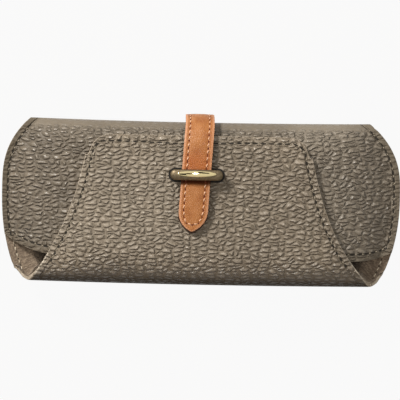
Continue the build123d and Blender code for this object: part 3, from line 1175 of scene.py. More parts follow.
class Stitching:
    """Sews rows of stitches into one mesh: threads that dip into needle holes."""

    THREAD = 0
    HOLE = 1

    def __init__(self, name: str) -> None:
        """Start an empty mesh."""
        self.name = name
        self.bm = bmesh.new()
        self.count = 0

    def sew(self, style: StitchStyle, places: Sequence[Vector],
            normal_at: Callable[[Vector], Vector]) -> None:
        """Sew one row.

        Args:
            style: How its stitches look.
            places: Dense points on the surface, along the row.
            normal_at: Outward direction of the surface at a point on it.
        """
        thread, hole = style.thread_shape(), style.hole_shape()
        ends = resample(places, style.pitch)
        for before, after in zip(ends, ends[1:]):
            run = after - before
            start = before + run * (style.gap / 2 / style.pitch)
            end = after - run * (style.gap / 2 / style.pitch)
            normal = normal_at((before + after) / 2)
            self.add_thread(style, thread, start, end, normal)
            self.add_hole(style, hole, before, normal, run.normalized())
            self.count += 1
        self.add_hole(style, hole, ends[-1], normal_at(ends[-1]), (ends[-1] - ends[-2]).normalized())
        for shape in (thread, hole):
            bpy.data.meshes.remove(shape)

    def add_copy(self, shape: bpy.types.Mesh, start: Vector, *directions: Vector) -> None:
        """Add a copy of a shape.

        Args:
            shape: What is copied.
            start: Where its origin goes.
            *directions: Where its X, Y and Z point, each as long as the shape is stretched.
        """
        known = len(self.bm.verts)
        self.bm.from_mesh(shape)
        self.bm.verts.ensure_lookup_table()
        placing = Matrix.Translation(start) @ Matrix(directions).transposed().to_4x4()
        bmesh.ops.transform(self.bm, matrix=placing, verts=self.bm.verts[known:])

    def add_thread(self, style: StitchStyle, shape: bpy.types.Mesh, start: Vector, end: Vector,
                   normal: Vector) -> None:
        """Add one stitch's thread, slanted a little across the row.

        Args:
            style: How far it slants.
            shape: The thread.
            start: Where it comes out.
            end: Where it goes in.
            normal: Outward direction of the surface.
        """
        run = end - start
        aside = run.normalized().cross(normal).normalized()
        lean = aside * (run.length * math.tan(math.radians(style.slant)) / 2)
        self.add_copy(shape, start - lean, normal, aside, run + lean * 2)

    def add_hole(self, style: StitchStyle, shape: bpy.types.Mesh, place: Vector, normal: Vector,
                 along: Vector) -> None:
        """Add a dark disc of painted shade over a needle hole, just proud of the leather.

        Args:
            style: The hole's size.
            shape: The hole.
            place: Its middle.
            normal: Outward direction of the surface.
            along: Direction of the row.
        """
        aside = along.cross(normal).normalized()
        self.add_copy(
            shape, place + normal * style.hole_lift, aside * style.hole_wide, along * style.hole_long, normal
        )

    def finish(self, thread: bpy.types.Material, hole: bpy.types.Material) -> bpy.types.Object:
        """Close the mesh and give the object."""
        LOG.info("%s: %d stitches", self.name, self.count)
        return link_mesh(self.name, self.bm, (thread, hole))


@dataclass(frozen=True)
class FoldBlend:
    """Where a piece that crosses a hinge passes from one body to the next, in metres."""

    first: Body
    second: Body
    start: tuple[float, float, float]
    end: tuple[float, float, float]

    def apply(self, piece: bpy.types.Object) -> None:
        """Bake the piece's transform into its mesh; it isn't bound to the bodies."""
        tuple(self.start)
        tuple(self.end)
        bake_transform(piece)


LOWER_BACK = FoldBlend(Body.POUCH, Body.FLAP_SPINE, (0, -0.0281, 0), (0, -0.0361, 0))
LOWER_FRONT = FoldBlend(Body.FLAP_SPINE, Body.FLAP, (0, -0.0361, 0), (0, -0.0281, 0))
STRAP_BACK = FoldBlend(Body.POUCH, Body.STRAP_BRIDGE, (0, 0.0293, 0), (0, 0.0383, 0))
STRAP_FRONT = FoldBlend(Body.STRAP_BRIDGE, Body.STRAP_TONGUE, (0, 0.0383, 0), (0, 0.029, 0))


@dataclass
class CasePouch:
    """The pocket: one sheet of leather from the mouth over the top fold to the lower fold."""

    form: CaseForm
    finishes: Finishes
    leather: float = 1.3
    seam_line: float = 2.6
    mouth_line: float = 3.0
    lining_line: float = 3.1
    lining_face: float = 0.62
    hem_band: tuple[float, float] = (-0.9, 0.3)
    side_hem: float = 0.95
    mouth_hem: float = 0.5
    mouth_reach: float = 4.0
    lower_fold_shade: float = 0.8
    top_fold_shade: float = 0.3
    suede: float = 0.58
    foam: float = 1.2
    puff: float = 4.2
    front_rows: int = 44
    fold_rows: int = 30
    back_rows: int = 40
    lower_rows: int = 14

    def stations(self) -> list[Station]:
        """Rows of the sheet, from the mouth to the lower fold's outermost line."""
        form = self.form
        rows = [Station(form.front_point, up) for up in even_steps(0, 1, self.front_rows)]
        for place, unroll, start, end, count in (
            (form.top_fold_point, form.top_unroll, 90, -90, self.fold_rows),
            (form.back_point, form.back_unroll, 0, 1, self.back_rows),
            (form.lower_fold_point, form.lower_unroll, -90, -180, self.lower_rows),
        ):
            rows += [Station(place, along, unroll) for along in even_steps(start, end, count)[1:]]
        return rows

    def grain(self, place: Vector) -> float:
        """Strength of the pebbles: the fold and the hems are pulled or pressed smooth."""
        form = self.form
        share = 1.0
        if place.z > form.seam_z - 4:
            fold = form.top_y(place.x)
            share *= 1 - 0.92 * smooth_step(fold - 4.0, fold - 2.4, place.y)
        return share * (1 - 0.7 * self.hem(place))

    def hem(self, place: Vector) -> float:
        """How dark a place is painted: along the hems, and as painted shade over the top fold and round the
        lower fold.

        Args:
            place: A point of the sheet.

        Returns:
            From 0, clear leather, to 1, dark.
        """
        form = self.form
        at_mouth = place.z > form.seam_z + 0.5 and place.y - form.mouth(place.x) < self.mouth_reach
        strength = self.mouth_hem if at_mouth else self.side_hem
        side = strength * (1 - smooth_step(*self.hem_band, self.seam(place)))
        if place.z < form.seam_z - 4:
            # Painted shade round the lower fold, where the light doesn't reach.
            low = smooth_step(-32.0, -36.0, place.y) * smooth_step(2, 8, place.z)
            return max(side, self.lower_fold_shade * low)
        # Painted shade over the top fold.
        fold = form.top_y(place.x)
        return max(side, self.top_fold_shade * smooth_step(fold - 4.6, fold - 1.8, place.y))

    def tint(self, place: Vector) -> float:
        """How much light is painted onto the front, from 0 to 1: below the top fold, and beside the flap's
        right edge to soften its shadow.
        """
        if place.z < self.form.seam_z:
            return 0.0
        painted_light_beside_flap = 0.1 * smooth_step(30.0, 45.0, place.x) - 0.05 * smooth_step(55.0, 80.0, place.x)
        return 0.03 * smooth_step(23.0, 28.5, place.y) + painted_light_beside_flap

    def seam(self, place: Vector) -> float:
        """Distance inside the row of stitches, in millimetres.

        Args:
            place: A point of the sheet.

        Returns:
            The distance, which is negative in the hem.
        """
        form = self.form
        side = form.half_width(place.y) - abs(place.x - form.middle(place.y))
        side = side / slope_length(form.half_width, place.y) - self.seam_line
        if place.z > form.seam_z + 0.5 and place.y < 0:
            return min(side, place.y - form.mouth(place.x) - self.mouth_line)
        return side

    def make(self) -> None:
        """Make the leather, the lining and the sewing of the pocket."""
        self.make_leather()
        self.make_lining()
        self.sew_seams()
        self.sew_lining()

    def make_leather(self) -> None:
        """Make the outer sheet."""
        plan = SheetPlan(
            name="shell_leather_sheet", stations=self.stations(), outset=0.0,
            thickness=lambda place: self.leather, grain=self.grain, seam=self.seam, hem=self.hem,
            tint=self.tint, trim_rows=(True, False),
        )
        finishes = self.finishes
        sheet = lay_sheet(plan, (finishes.shell_leather, finishes.cut_edge, finishes.suede))
        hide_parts("shell_leather")
        LOWER_BACK.apply(sheet)

    def padding(self, place: Vector) -> float:
        """Thickness of the lining with the foam and board behind it, which swell at the corners.

        Args:
            place: A point of the sheet.

        Returns:
            The thickness in millimetres.
        """
        inside = smooth_step(46.0, 40.0, abs(place.x)) * smooth_step(22.0, 16.0, abs(place.y))
        puffed = 0.0
        if place.z < self.form.seam_z:
            room = min(self.puff, max(0.0, 2 * self.form.swell(place.x, place.y) - self.puff))
            puffed = room * smooth_step(62.0, 72.0, abs(place.x)) * smooth_step(-10.0, -18.0, place.y)
        return self.suede + self.foam * inside + puffed

    def make_lining(self) -> None:
        """Make the suede lining, which goes round inside the leather."""
        plan = SheetPlan(
            name="pocket_lining_sheet", stations=self.stations(), outset=self.leather + 0.01,
            thickness=self.padding, columns=110, edge_round=0.1, trim_rows=(True, False),
        )
        sheet = lay_sheet(plan, (self.finishes.suede, self.finishes.suede, self.finishes.suede))
        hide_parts("pocket_lining", "front_board", "back_board")
        LOWER_BACK.apply(sheet)

    def side_points(self, sign: int, low: float, high: float, surface: SurfacePoint,
                    line: float) -> list[Vector]:
        """Dense points of a side seam on one face.

        Args:
            sign: -1 for the left side, 1 for the right.
            low: Its lowest y.
            high: Its highest y.
            surface: The face.
            line: Distance from the sheet's edge.

        Returns:
            The points, from the lowest up.
        """
        form = self.form
        found = []
        for y in even_steps(low, high, 120):
            inset = line * slope_length(form.half_width, y)
            found.append(surface(form.middle(y) + sign * (form.half_width(y) - inset), y))
        return found

    def sew_seams(self) -> None:
        """Sew the side seams and the row along the mouth."""
        form = self.form
        style = StitchStyle(gap=2.3, hole_long=1.15)
        work = Stitching("pouch_seam_stitches")
        front, back = on_surface(form.front_z), on_surface(form.back_z)
        for sign in (-1, 1):
            for surface, side, low in ((front, 1, -15.5), (back, -1, -26.5)):
                row = self.side_points(sign, low, 31.5, surface, self.seam_line)
                work.sew(style, row, facing(surface, side))
        mouth = [
            front(x, form.mouth(x) + self.mouth_line * slope_length(form.mouth, x))
            for x in even_steps(-81.5, 81.5, 240)
        ]
        work.sew(style, mouth, facing(front, 1))
        seams = work.finish(self.finishes.case_thread, self.finishes.case_hole_shade)
        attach(seams, Body.POUCH.value)

    def sew_lining(self) -> None:
        """Sew the lining to the back by its pale rows, which show at the lower corners."""
        style = StitchStyle(pitch=2.8, gap=1.2, hole_long=0.4, hole_wide=0.25, rise=0.16)
        work = Stitching("back_hem_stitches")
        inner = on_surface(lambda x, y: self.form.back_z(x, y) + self.leather + self.lining_face)
        for sign in (-1, 1):
            work.sew(style, self.side_points(sign, -32.0, -18.0, inner, self.lining_line), facing(inner, 1))
        hems = work.finish(self.finishes.lining_thread, self.finishes.case_hole_shade)
        LOWER_BACK.apply(hems)


@dataclass
class CaseFlap:
    """The flap: the same leather, from the lower fold up over the pocket's front."""

    form: CaseForm
    finishes: Finishes
    leather: float = 1.3
    lining: float = 0.7
    seam_line: float = 2.95
    strap_pull: float = 0.6
    pull_x: float = -8.0
    pull_reach: float = 16.0
    fold_rows: int = 16
    flap_rows: int = 52

    def stations(self) -> list[Station]:
        """Rows of the sheet, from the lower fold's outermost line to the free edge."""
        form = self.form
        rows = [
            Station(form.lower_fold_point, turn, form.flap_fold_unroll)
            for turn in even_steps(-180.001, -270, self.fold_rows)
        ]
        return rows + [Station(form.flap_point, up) for up in even_steps(0, 1, self.flap_rows)[1:]]

    def seam(self, place: Vector) -> float:
        """Distance inside the row of stitches, in millimetres.

        Args:
            place: A point of the sheet.

        Returns:
            The distance from the row by the slanted sides, the free edge and its round corners.
        """
        form = self.form
        side = form.flap_half_width(place.y) - abs(place.x - form.flap_middle(place.y))
        side /= slope_length(form.flap_half_width, place.y)
        top = form.flap_edge_y - place.y
        corner = form.flap_corner
        if side < corner and top < corner:
            return corner - math.hypot(corner - side, corner - top) - self.seam_line
        return min(side, top) - self.seam_line

    def grain(self, place: Vector) -> float:
        """Strength of the pebbles: pulled a little smoother round the lower fold."""
        return 1 - 0.45 * smooth_step(-33.5, -36.0, place.y)

    def hem(self, place: Vector) -> float:
        """How far painted shade darkens the lower fold along its outermost line, from 0 to 1."""
        return 0.85 * smooth_step(-31.2, -35.6, place.y)

    def tint(self, place: Vector) -> float:
        """How light the leather is painted: where its pale raw edge rolls into sight, partly a painted
        highlight where the edge catches the light, and painted light on its left half.

        Args:
            place: A point of the sheet.

        Returns:
            From 0 to 1.
        """
        width = 0.45 + 0.45 * smooth_step(-22.0, -35.0, place.y)
        edge = self.seam(place) + self.seam_line
        rolled = smooth_step(-20.0, -26.0, place.y) * (1 - smooth_step(width * 0.6, width, edge))
        painted_light_left = smooth_step(5.0, -22.0, place.x) * smooth_step(-28.0, -12.0, place.y)
        return 0.8 * rolled + 0.07 * painted_light_left * smooth_step(28.0, 16.0, place.y)

    def make(self) -> None:
        """Make the flap's leather, lining and sewing."""
        finishes = self.finishes
        outer = SheetPlan(
            name="flap_leather_sheet", stations=self.stations(), outset=0.0,
            thickness=lambda place: self.leather, grain=self.grain, seam=self.seam, hem=self.hem,
            tint=self.tint, trim_rows=(False, True), edge_round=0.36, edge_material=EDGE_SIDE,
        )
        sheet = lay_sheet(outer, (finishes.leather, finishes.cut_edge, finishes.suede))
        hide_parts("flap_leather", "spine_leather")
        LOWER_FRONT.apply(sheet)

        inner = SheetPlan(
            name="flap_lining_sheet", stations=self.stations(), outset=self.leather + 0.01,
            thickness=lambda place: self.lining, columns=100, edge_round=0.1,
            trim_rows=(False, True),
        )
        sheet = lay_sheet(inner, (finishes.suede, finishes.cut_edge, finishes.suede))
        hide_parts("flap_lining", "spine_lining")
        LOWER_FRONT.apply(sheet)
        self.make_seams()

    def side_x(self, y: float) -> float:
        """Distance of the side rows from the flap's middle line at y."""
        half_width = self.form.flap_half_width
        return half_width(y) - self.seam_line * slope_length(half_width, y)

    def lay_row(self, sign: int, row: Sequence[tuple[float, float]]) -> list[Vector]:
        """Lay a row of stitches, drawn for the right half, on one half of the flap's face.

        Args:
            sign: -1 for the left half, 1 for the right.
            row: Its x from the flap's middle line, and its y.

        Returns:
            The points, drawn down a little where the strap pulls.
        """
        form = self.form
        found = []
        for away, y in row:
            x = form.flap_middle(y) + sign * away
            y -= self.strap_pull * math.exp(-(((x - self.pull_x) / self.pull_reach) ** 2))
            found.append(Vector((x, y, form.flap_z(x, y))))
        return found

    def seam_rows(self) -> tuple[list[Vector], list[Vector], list[Vector]]:
        """Dense points of the rows: up the left side, along the free edge, down the right side."""
        radius = self.form.flap_corner - self.seam_line
        top = self.form.flap_edge_y - self.seam_line
        side = [(self.side_x(y), y) for y in even_steps(-26.5, top - radius, 140)]
        corner_x, corner_y = side[-1]
        bend = [
            (corner_x - radius * (1 - math.cos(turn)), corner_y + radius * math.sin(turn))
            for turn in even_steps(0, math.pi / 2, 12)
        ]
        side += bend[1:7]
        edge = bend[6:] + [(x, top) for x in even_steps(bend[-1][0], 0, 60)[1:]]
        whole_edge = self.lay_row(-1, edge) + self.lay_row(1, edge[:-1][::-1])
        return self.lay_row(-1, side), whole_edge, self.lay_row(1, side[::-1])

    def make_seams(self) -> None:
        """Sew the row round the flap."""
        work = Stitching("flap_seam_stitches")
        normal_at = facing(on_surface(self.form.flap_z), 1)
        styles = (
            StitchStyle(hole_long=0.75, hole_wide=0.42, rise=0.02),
            StitchStyle(hole_long=1.25, hole_wide=0.34, gap=2.5, rise=0.02),
            StitchStyle(hole_wide=0.42, gap=1.9, rise=0.02),
        )
        for row, style in zip(self.seam_rows(), styles):
            work.sew(style, row, normal_at)
        seams = work.finish(self.finishes.case_thread, self.finishes.case_hole_shade)
        LOWER_FRONT.apply(seams)


@dataclass
class TanStrap:
    """The strap: two layers sewn together, over the top fold and down under the loop."""

    finishes: Finishes
    middle_x: float = -1.2
    lean: float = 3.4
    lean_from: float = 28.8
    half_width: float = 6.3
    bridge_half_width: float = 6.2
    thickness: float = 2.2
    crown: float = 0.2
    crown_reach: float = 5.0
    seam_inset: float = 2.1
    seam_depth: float = 0.14
    seam_breadth: float = 0.5
    edge_drop: float = 0.12
    edge_reach: float = 0.6
    centre: tuple[float, float] = (22.454, 13.754)
    radius: float = 15.846
    slit_angle: float = -56.0
    tip_y: float = -13.0
    point: float = 8.8
    tip_half_width: float = 0.3
    tip_slant: float = 0.72
    lift: float = -0.25
    front_z: float = 20.0
    tip_shadow_flare: float = 1.0

    def path(self, length: float) -> tuple[float, float, float]:
        """Side view of the outer face.

        Args:
            length: Millimetres along it from the slit.

        Returns:
            Y, z and the turn of its outward direction, in degrees.
        """
        arc = math.radians(90 - self.slit_angle) * self.radius
        if length <= arc:
            turn = self.slit_angle + math.degrees(length / self.radius)
            y = self.centre[0] + self.radius * math.cos(math.radians(turn))
            z = self.centre[1] + self.radius * math.sin(math.radians(turn))
            return y, z + self.lift * smooth_step(40, 90, turn), turn
        run = length - arc
        return self.centre[0] - run, self.centre[1] + self.radius + self.lift, 90.0

    def length_to(self, turn: float) -> float:
        """Length along the outer face to a turn of the fold."""
        return math.radians(turn - self.slit_angle) * self.radius

    def total(self) -> float:
        """Whole length of the outer face."""
        return self.length_to(90) + self.centre[0] - self.tip_y

    def middle(self, length: float) -> float:
        """X of the strap's middle line at a length."""
        over = smooth_step(self.length_to(0), self.length_to(60), length)
        away = self.path(length)[0] - self.lean_from
        return self.middle_x + over * math.tan(math.radians(self.lean)) * away

    def half(self, length: float) -> float:
        """Half of the strap's width at a length, which ends in a pointed arch.

        Args:
            length: Millimetres along the outer face from the slit.

        Returns:
            Half of the width.
        """
        left = self.total() - length
        over = smooth_step(self.length_to(-10), self.length_to(95), length)
        full = self.bridge_half_width + (self.half_width - self.bridge_half_width) * over
        if left >= self.point:
            return full
        radius = (full * full + self.point * self.point) / (2 * full)
        run = self.point - left
        arch = radius - math.sqrt(max(0.0, radius * radius - run * run))
        return max(self.tip_half_width, full - arch)

    def top(self, across: float, length: float) -> Vector:
        """Point of the outer face, with its crown and the channel of its seam.

        Args:
            across: Share of the half-width, from -1 to 1.
            length: Millimetres along the outer face from the slit.

        Returns:
            The point.
        """
        y, z, turn = self.path(length)
        half = self.half(length)
        edge = min(half * (1 - abs(across)), (self.total() - length) * self.tip_slant + 0.02)
        rise = self.crown * (smooth_step(0, self.crown_reach, edge) - 1)
        rise -= self.seam_depth * math.exp(-(((edge - self.seam_inset) / self.seam_breadth) ** 2))
        rise -= self.edge_drop * (1 - smooth_step(0, self.edge_reach, edge))
        out = Vector((0, math.cos(math.radians(turn)), math.sin(math.radians(turn))))
        return Vector((self.middle(length) + across * half, y, z)) + out * rise

    def length_at(self, place: Vector) -> float:
        """Length along the outer face at a point of it."""
        if place.y < self.centre[0] and place.z > self.centre[1]:
            return self.length_to(90) + self.centre[0] - place.y
        return self.length_to(math.degrees(math.atan2(place.z - self.centre[1], place.y - self.centre[0])))

    def edge_highlight(self, place: Vector) -> float:
        """How far a highlight is painted along its edges, where the rounded edge catches the light, from 0
        to 1.
        """
        length = self.length_at(place)
        edge = self.half(length) - abs(place.x - self.middle(length))
        return 0.75 * (1 - smooth_step(0.5, 1.2, edge))

    def bent(self, place: Vector) -> float:
        """How far the leather is drawn taut and deeper in colour above the loop, from 0 to 1."""
        taut = smooth_step(25.0, 17.0, place.y) * smooth_step(9.0, 12.0, place.y)
        return 0.65 * taut if place.z >= self.front_z else 0.0

    def seam_channel_and_loop_shadow(self, place: Vector) -> float:
        """How far the loop's shadow is painted dark onto the strap below it, from 0 to 1."""
        under = smooth_step(6.0, 8.3, place.y) * smooth_step(13.0, 11.0, place.y)
        return 0.92 * under if place.z >= self.front_z else 0.0

    def shadow_flare(self, place: Vector) -> Vector:
        """How far the underside reaches out past the face round the point, so that its dark edge shows as a
        painted shadow line round the tip.

        Args:
            place: A point of the outer face.

        Returns:
            The way from the face's edge to the underside's, in millimetres.
        """
        near = smooth_step(-4.0, -8.0, place.y)
        across = (place.x - self.middle(self.length_at(place))) / self.half_width
        down = smooth_step(-8.0, self.tip_y, place.y)
        return Vector((self.tip_shadow_flare * near * across, -self.tip_shadow_flare * down, 0.0))

    def make(self) -> None:
        """Make both lengths of the strap and its sewing."""
        split = self.length_to(0)
        self.make_length("strap_bridge_length", 0.0, split, 40, STRAP_BACK,
                         ("strap_root", "strap_bridge_face", "strap_bridge_backing"))
        self.make_length("strap_tongue_length", split, self.total(), 130, STRAP_FRONT,
                         ("strap_tongue_face", "strap_tongue_backing"))
        self.make_stitches("strap_bridge_stitches", 1.5, split, STRAP_BACK)
        self.make_stitches("strap_tongue_stitches", split, self.total(), STRAP_FRONT)

    def make_length(self, name: str, start: float, end: float, rows: int, blend: FoldBlend,
                    nodes: tuple[str, ...]) -> None:
        """Make one length of the strap as a thick sheet.

        Args:
            name: The piece's name.
            start: Where it starts, in millimetres from the slit.
            end: Where it ends.
            rows: Rows of its grid.
            blend: The fold that it crosses.
            nodes: The solids that it stands for.
        """
        plan = SheetPlan(
            name=name,
            stations=[
                Station(self.top, length, lambda place, along: along)
                for length in even_steps(start, end, rows)
            ],
            outset=0.0, thickness=lambda place: self.thickness - self.crown, columns=56,
            hem=self.edge_highlight, tint=self.bent, mark=self.seam_channel_and_loop_shadow, shadow_flare=self.shadow_flare,
            edge_round=0.16, edge_crowding=0.3, trim_rows=(False, True),
        )
        finishes = self.finishes
        sheet = lay_sheet(plan, (finishes.tan, finishes.tan_edge_and_tip_shadow, finishes.tan_back))
        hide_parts(*nodes)
        blend.apply(sheet)

    def outward(self, place: Vector) -> Vector:
        """Outward direction of the outer face at a point of it."""
        if place.y < self.centre[0]:
            return Vector((0, 0, 1))
        return Vector((0, place.y - self.centre[0], place.z - self.centre[1])).normalized()

    def make_stitches(self, name: str, start: float, end: float, blend: FoldBlend) -> None:
        """Sew the rows near both edges, which meet round the point.

        Args:
            name: The piece's name.
            start: Where they start, in millimetres from the slit.
            end: Where they end.
            blend: The fold that they cross.
        """
        style = StitchStyle(
            pitch=3.0, gap=1.35, thread=0.3, sink=0.25, rise=0.1, hole_long=0.62, hole_wide=0.4,
            slant=16.0,
        )
        work = Stitching(name)
        last = self.total() - self.seam_inset / self.tip_slant
        sides = []
        for sign in (-1, 1):
            row = []
            for length in even_steps(start, min(end, last), 200):
                across = 1 - self.seam_inset / self.half(length)
                if across > 0:
                    row.append(self.top(sign * across, length))
            sides.append(row)
        rows = [sides[0] + sides[1][::-1]] if end > last else sides
        for row in rows:
            work.sew(style, row, self.outward)
        piece = work.finish(self.finishes.strap_thread, self.finishes.strap_hole_shade)
        blend.apply(piece)


@dataclass
class BridgeLoop:
    """The metal loop: a long oval bar on two feet, with a polished lens-shaped facet on top."""

    finishes: Finishes
    x: float = -2.05
    y: float = 11.4
    half_length: float = 11.45
    half_width: float = 2.35
    foot_z: float = 26.78
    under_z: float = 30.1
    inner_half: float = 7.4
    inner_step: float = 0.01
    side_z: float = 30.5
    crown_rise: float = 1.35
    crown_power: float = 2.4
    crown_reach: float = 0.97
    arch: float = 0.55
    facet_half_length: float = 8.6
    facet_half_width: float = 1.3
    facet_power: float = 0.9
    facet_sink: float = 0.12
    facet_rise: float = 0.3
    facet_arch: float = 0.7
    facet_shift: float = 0.45
    facet_crown: float = 0.12
    facet_levels: tuple[tuple[float, float], ...] = (
        (1.0, 0.0), (0.985, 0.7), (0.95, 0.94), (0.88, 1.0), (0.6, 1.0), (0.3, 1.0),
    )
    seat_z: float = 26.8
    seat_overlap: float = 0.3
    seat_margin: float = 0.75
    straight_steps: int = 44
    round_steps: int = 18
    facet_steps: int = 96
    rings: int = 9

    def around(self) -> list[tuple[float, float, float]]:
        """Go round the bar's outline: for each place its centre's x and its outward direction."""
        straight = self.half_length - self.half_width
        step = self.inner_step
        steps_in = [sign * self.inner_half + past for sign in (-1, 1) for past in (-step, step)]
        runs = sorted(even_steps(-straight, straight, self.straight_steps) + steps_in)
        turns = even_steps(0, math.pi, self.round_steps)[1:-1]
        right = [(straight, math.sin(turn), math.cos(turn)) for turn in turns]
        left = [(-straight, -math.sin(turn), -math.cos(turn)) for turn in turns]
        front = [(run, 0.0, 1.0) for run in runs]
        return front + right + [(run, 0.0, -1.0) for run in reversed(runs)] + left

    def ring(self, reach: float, height: Callable[[float, float], float]) -> list[Vector]:
        """Places of one ring round the bar.

        Args:
            reach: Its distance from the bar's middle line.
            height: Its z, from a place's centre and how far aside it lies.

        Returns:
            The places.
        """
        return [
            Vector((self.x + centre + aside * reach, self.y + out * reach, height(centre, aside)))
            for centre, aside, out in self.around()
        ]

    def height(self, run: float, inset: float) -> float:
        """Height of the bar's body at a distance from its middle and from its outline."""
        share = min(1.0, inset / self.half_width)
        rise = self.crown_rise * math.sqrt(max(0.0, 1 - (1 - share) ** self.crown_power))
        return self.side_z + rise - self.arch * (run / self.half_length) ** 2

    def foot(self, centre: float, aside: float) -> float:
        """Height of the bar's lower edge: on the leather at its feet, and over the strap between."""
        return self.foot_z if abs(centre) > self.inner_half or aside else self.under_z

    def close(self, bm: bmesh.types.BMesh, ring: Sequence[bmesh.types.BMVert]) -> None:
        """Close a ring round the bar by strips across it, and by a face at each round end.

        Args:
            bm: The bar's mesh.
            ring: The ring's vertices.
        """
        edges = ring_edges(ring, bm)
        half = len(ring) // 2
        strips = half - self.round_steps + 1
        bmesh.ops.bridge_loops(bm, edges=edges[:strips] + edges[half : half + strips])
        ends = dict.fromkeys(edge for vert in ring for edge in vert.link_edges if edge.is_boundary)
        bmesh.ops.holes_fill(bm, edges=list(ends), sides=0)

    def add_body(self, bm: bmesh.types.BMesh) -> None:
        """Add the bar with its wall, its rounded top and its feet."""
        rings = [self.ring(self.half_width, self.foot)]
        for share in even_steps(0, 1, self.rings - 1):
            inset = self.half_width * (1 - math.cos(share * math.pi / 2)) * self.crown_reach
            reach = self.half_width - inset

            def crown(centre: float, aside: float) -> float:
                """Height of the rounded top at this ring."""
                return self.height(centre + aside * reach, inset)

            rings.append(self.ring(reach, crown))
        for ring in skin_rings(bm, rings):
            self.close(bm, ring)
        bmesh.ops.recalc_face_normals(bm, faces=bm.faces)

    def table(self, run: float, across: float) -> float:
        """Height of the facet's polished face, which arches along the bar and a little across it."""
        arch = self.facet_arch * (1 - (run / self.facet_half_length) ** 2)
        crown = self.facet_crown * across * across
        return self.height(run, self.half_width) + self.facet_rise + arch - crown

    def facet_place(self, turn: float, size: float, lift: float) -> Vector:
        """Place on the facet.

        Args:
            turn: Where round it, in radians.
            size: Share of its full outline.
            lift: Share of the way from the bar's body up to the polished face.

        Returns:
            The place.
        """
        sine = math.sin(turn)
        run = self.facet_half_length * size * math.cos(turn)
        across = self.facet_half_width * size * math.copysign(abs(sine) ** self.facet_power, sine)
        aside = across + self.facet_shift
        low = self.height(run, self.half_width - abs(aside)) - self.facet_sink
        return Vector((self.x + run, self.y + aside, low + (self.table(run, across) - low) * lift))

    def add_facet(self, bm: bmesh.types.BMesh) -> None:
        """Add the raised facet: a lens shape with a crisp rim and a slightly rounded top."""
        known = set(bm.faces)
        turns = even_steps(0, 2 * math.pi, self.facet_steps)[:-1]
        rings = [
            [self.facet_place(turn, size, lift) for turn in turns] for size, lift in self.facet_levels
        ]
        _, top = skin_rings(bm, rings)
        bmesh.ops.edgeloop_fill(bm, edges=ring_edges(top, bm))
        facet = [face for face in bm.faces if face not in known]
        bmesh.ops.recalc_face_normals(bm, faces=facet)
        for face in facet:
            face.material_index = 1

    def make(self) -> None:
        """Make the bar with its facet, and the painted contact shadow round it."""
        bm = bmesh.new()
        self.add_body(bm)
        self.add_facet(bm)
        soften(bm, 30.0)
        piece = link_mesh("bridge_loop_bar", bm, (self.finishes.bronze, self.finishes.gold))
        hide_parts("bridge_loop")
        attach(piece, Body.FLAP.value)
        self.make_seat()

    def make_seat(self) -> None:
        """Make the dark ring of painted contact shadow round the bar, on the leather."""
        bm = bmesh.new()
        rings = [
            self.ring(self.half_width + past, lambda centre, aside, lift=lift: self.seat_z + lift)
            for past, lift in ((-self.seat_overlap, 0.03), (self.seat_margin, 0.05))
        ]
        skin_rings(bm, rings)
        bmesh.ops.recalc_face_normals(bm, faces=bm.faces)
        for face in bm.faces:
            if face.normal.z < 0:
                face.normal_flip()
        contact_shadow = link_mesh("loop_contact_shadow_line", bm, (self.finishes.contact_shadow,))
        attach(contact_shadow, Body.FLAP.value)


def dress_nodes(frame: dict, finishes: Finishes) -> None:
    """Give the CAD nodes that stay their finishes.

    Args:
        finishes: The finishes.
    """
    for name in ("loop_plate", "loop_rivets"):
        LOG.info("%s: kept from the model", name)
        obj = frame["nodes"][name]
        obj.data.materials.clear()
        obj.data.materials.append(finishes.steel)


@dataclass(frozen=True)
class Card:
    """A dark card over the case that only polished metal mirrors; lengths are metres."""

    name: str
    colour: str
    x: float
    y: float
    half_x: float
    half_y: float
    z: float = 1.0

    def make(self) -> None:
        """Hang the card: it is clear to every ray but a glossy one."""
        bm = bmesh.new()
        bmesh.ops.create_grid(bm, x_segments=1, y_segments=1, size=1.0)
        bmesh.ops.scale(bm, vec=(self.half_x, self.half_y, 1.0), verts=bm.verts)
        bmesh.ops.translate(bm, vec=(self.x, self.y, self.z), verts=bm.verts)
        material, add = new_material(self.name)
        path = add("LightPath")
        clear = add("BsdfTransparent")
        card = add(
            "BsdfPrincipled",
            {"Base Color": linear(self.colour), "Roughness": 0.9, "Specular IOR Level": 0.0},
        )
        mixed = add("MixShader", {0: path.outputs["Is Glossy Ray"], 1: clear, 2: card})
        add("OutputMaterial", {"Surface": mixed})
        link_mesh(self.name, bm, (material,), 1.0)


@dataclass(frozen=True)
class Softbox:
    """A soft square lamp that looks at the case; lengths are metres."""

    name: str
    place: tuple[float, float, float]
    size: float
    energy: float
    colour: str
    target: tuple[float, float, float] = (0, 0, 0.015)

    def make(self) -> None:
        """Hang the lamp."""
        data = bpy.data.lights.new(self.name, "AREA")
        data.shape = "SQUARE"
        data.size = self.size
        data.energy = self.energy
        data.color = linear(self.colour)[:3]
        lamp = bpy.data.objects.new(self.name, data)
        bpy.context.scene.collection.objects.link(lamp)
        place = Vector(self.place)
        turn = (Vector(self.target) - place).to_track_quat("-Z", "Y")
        lamp.matrix_world = Matrix.Translation(place) @ turn.to_matrix().to_4x4()


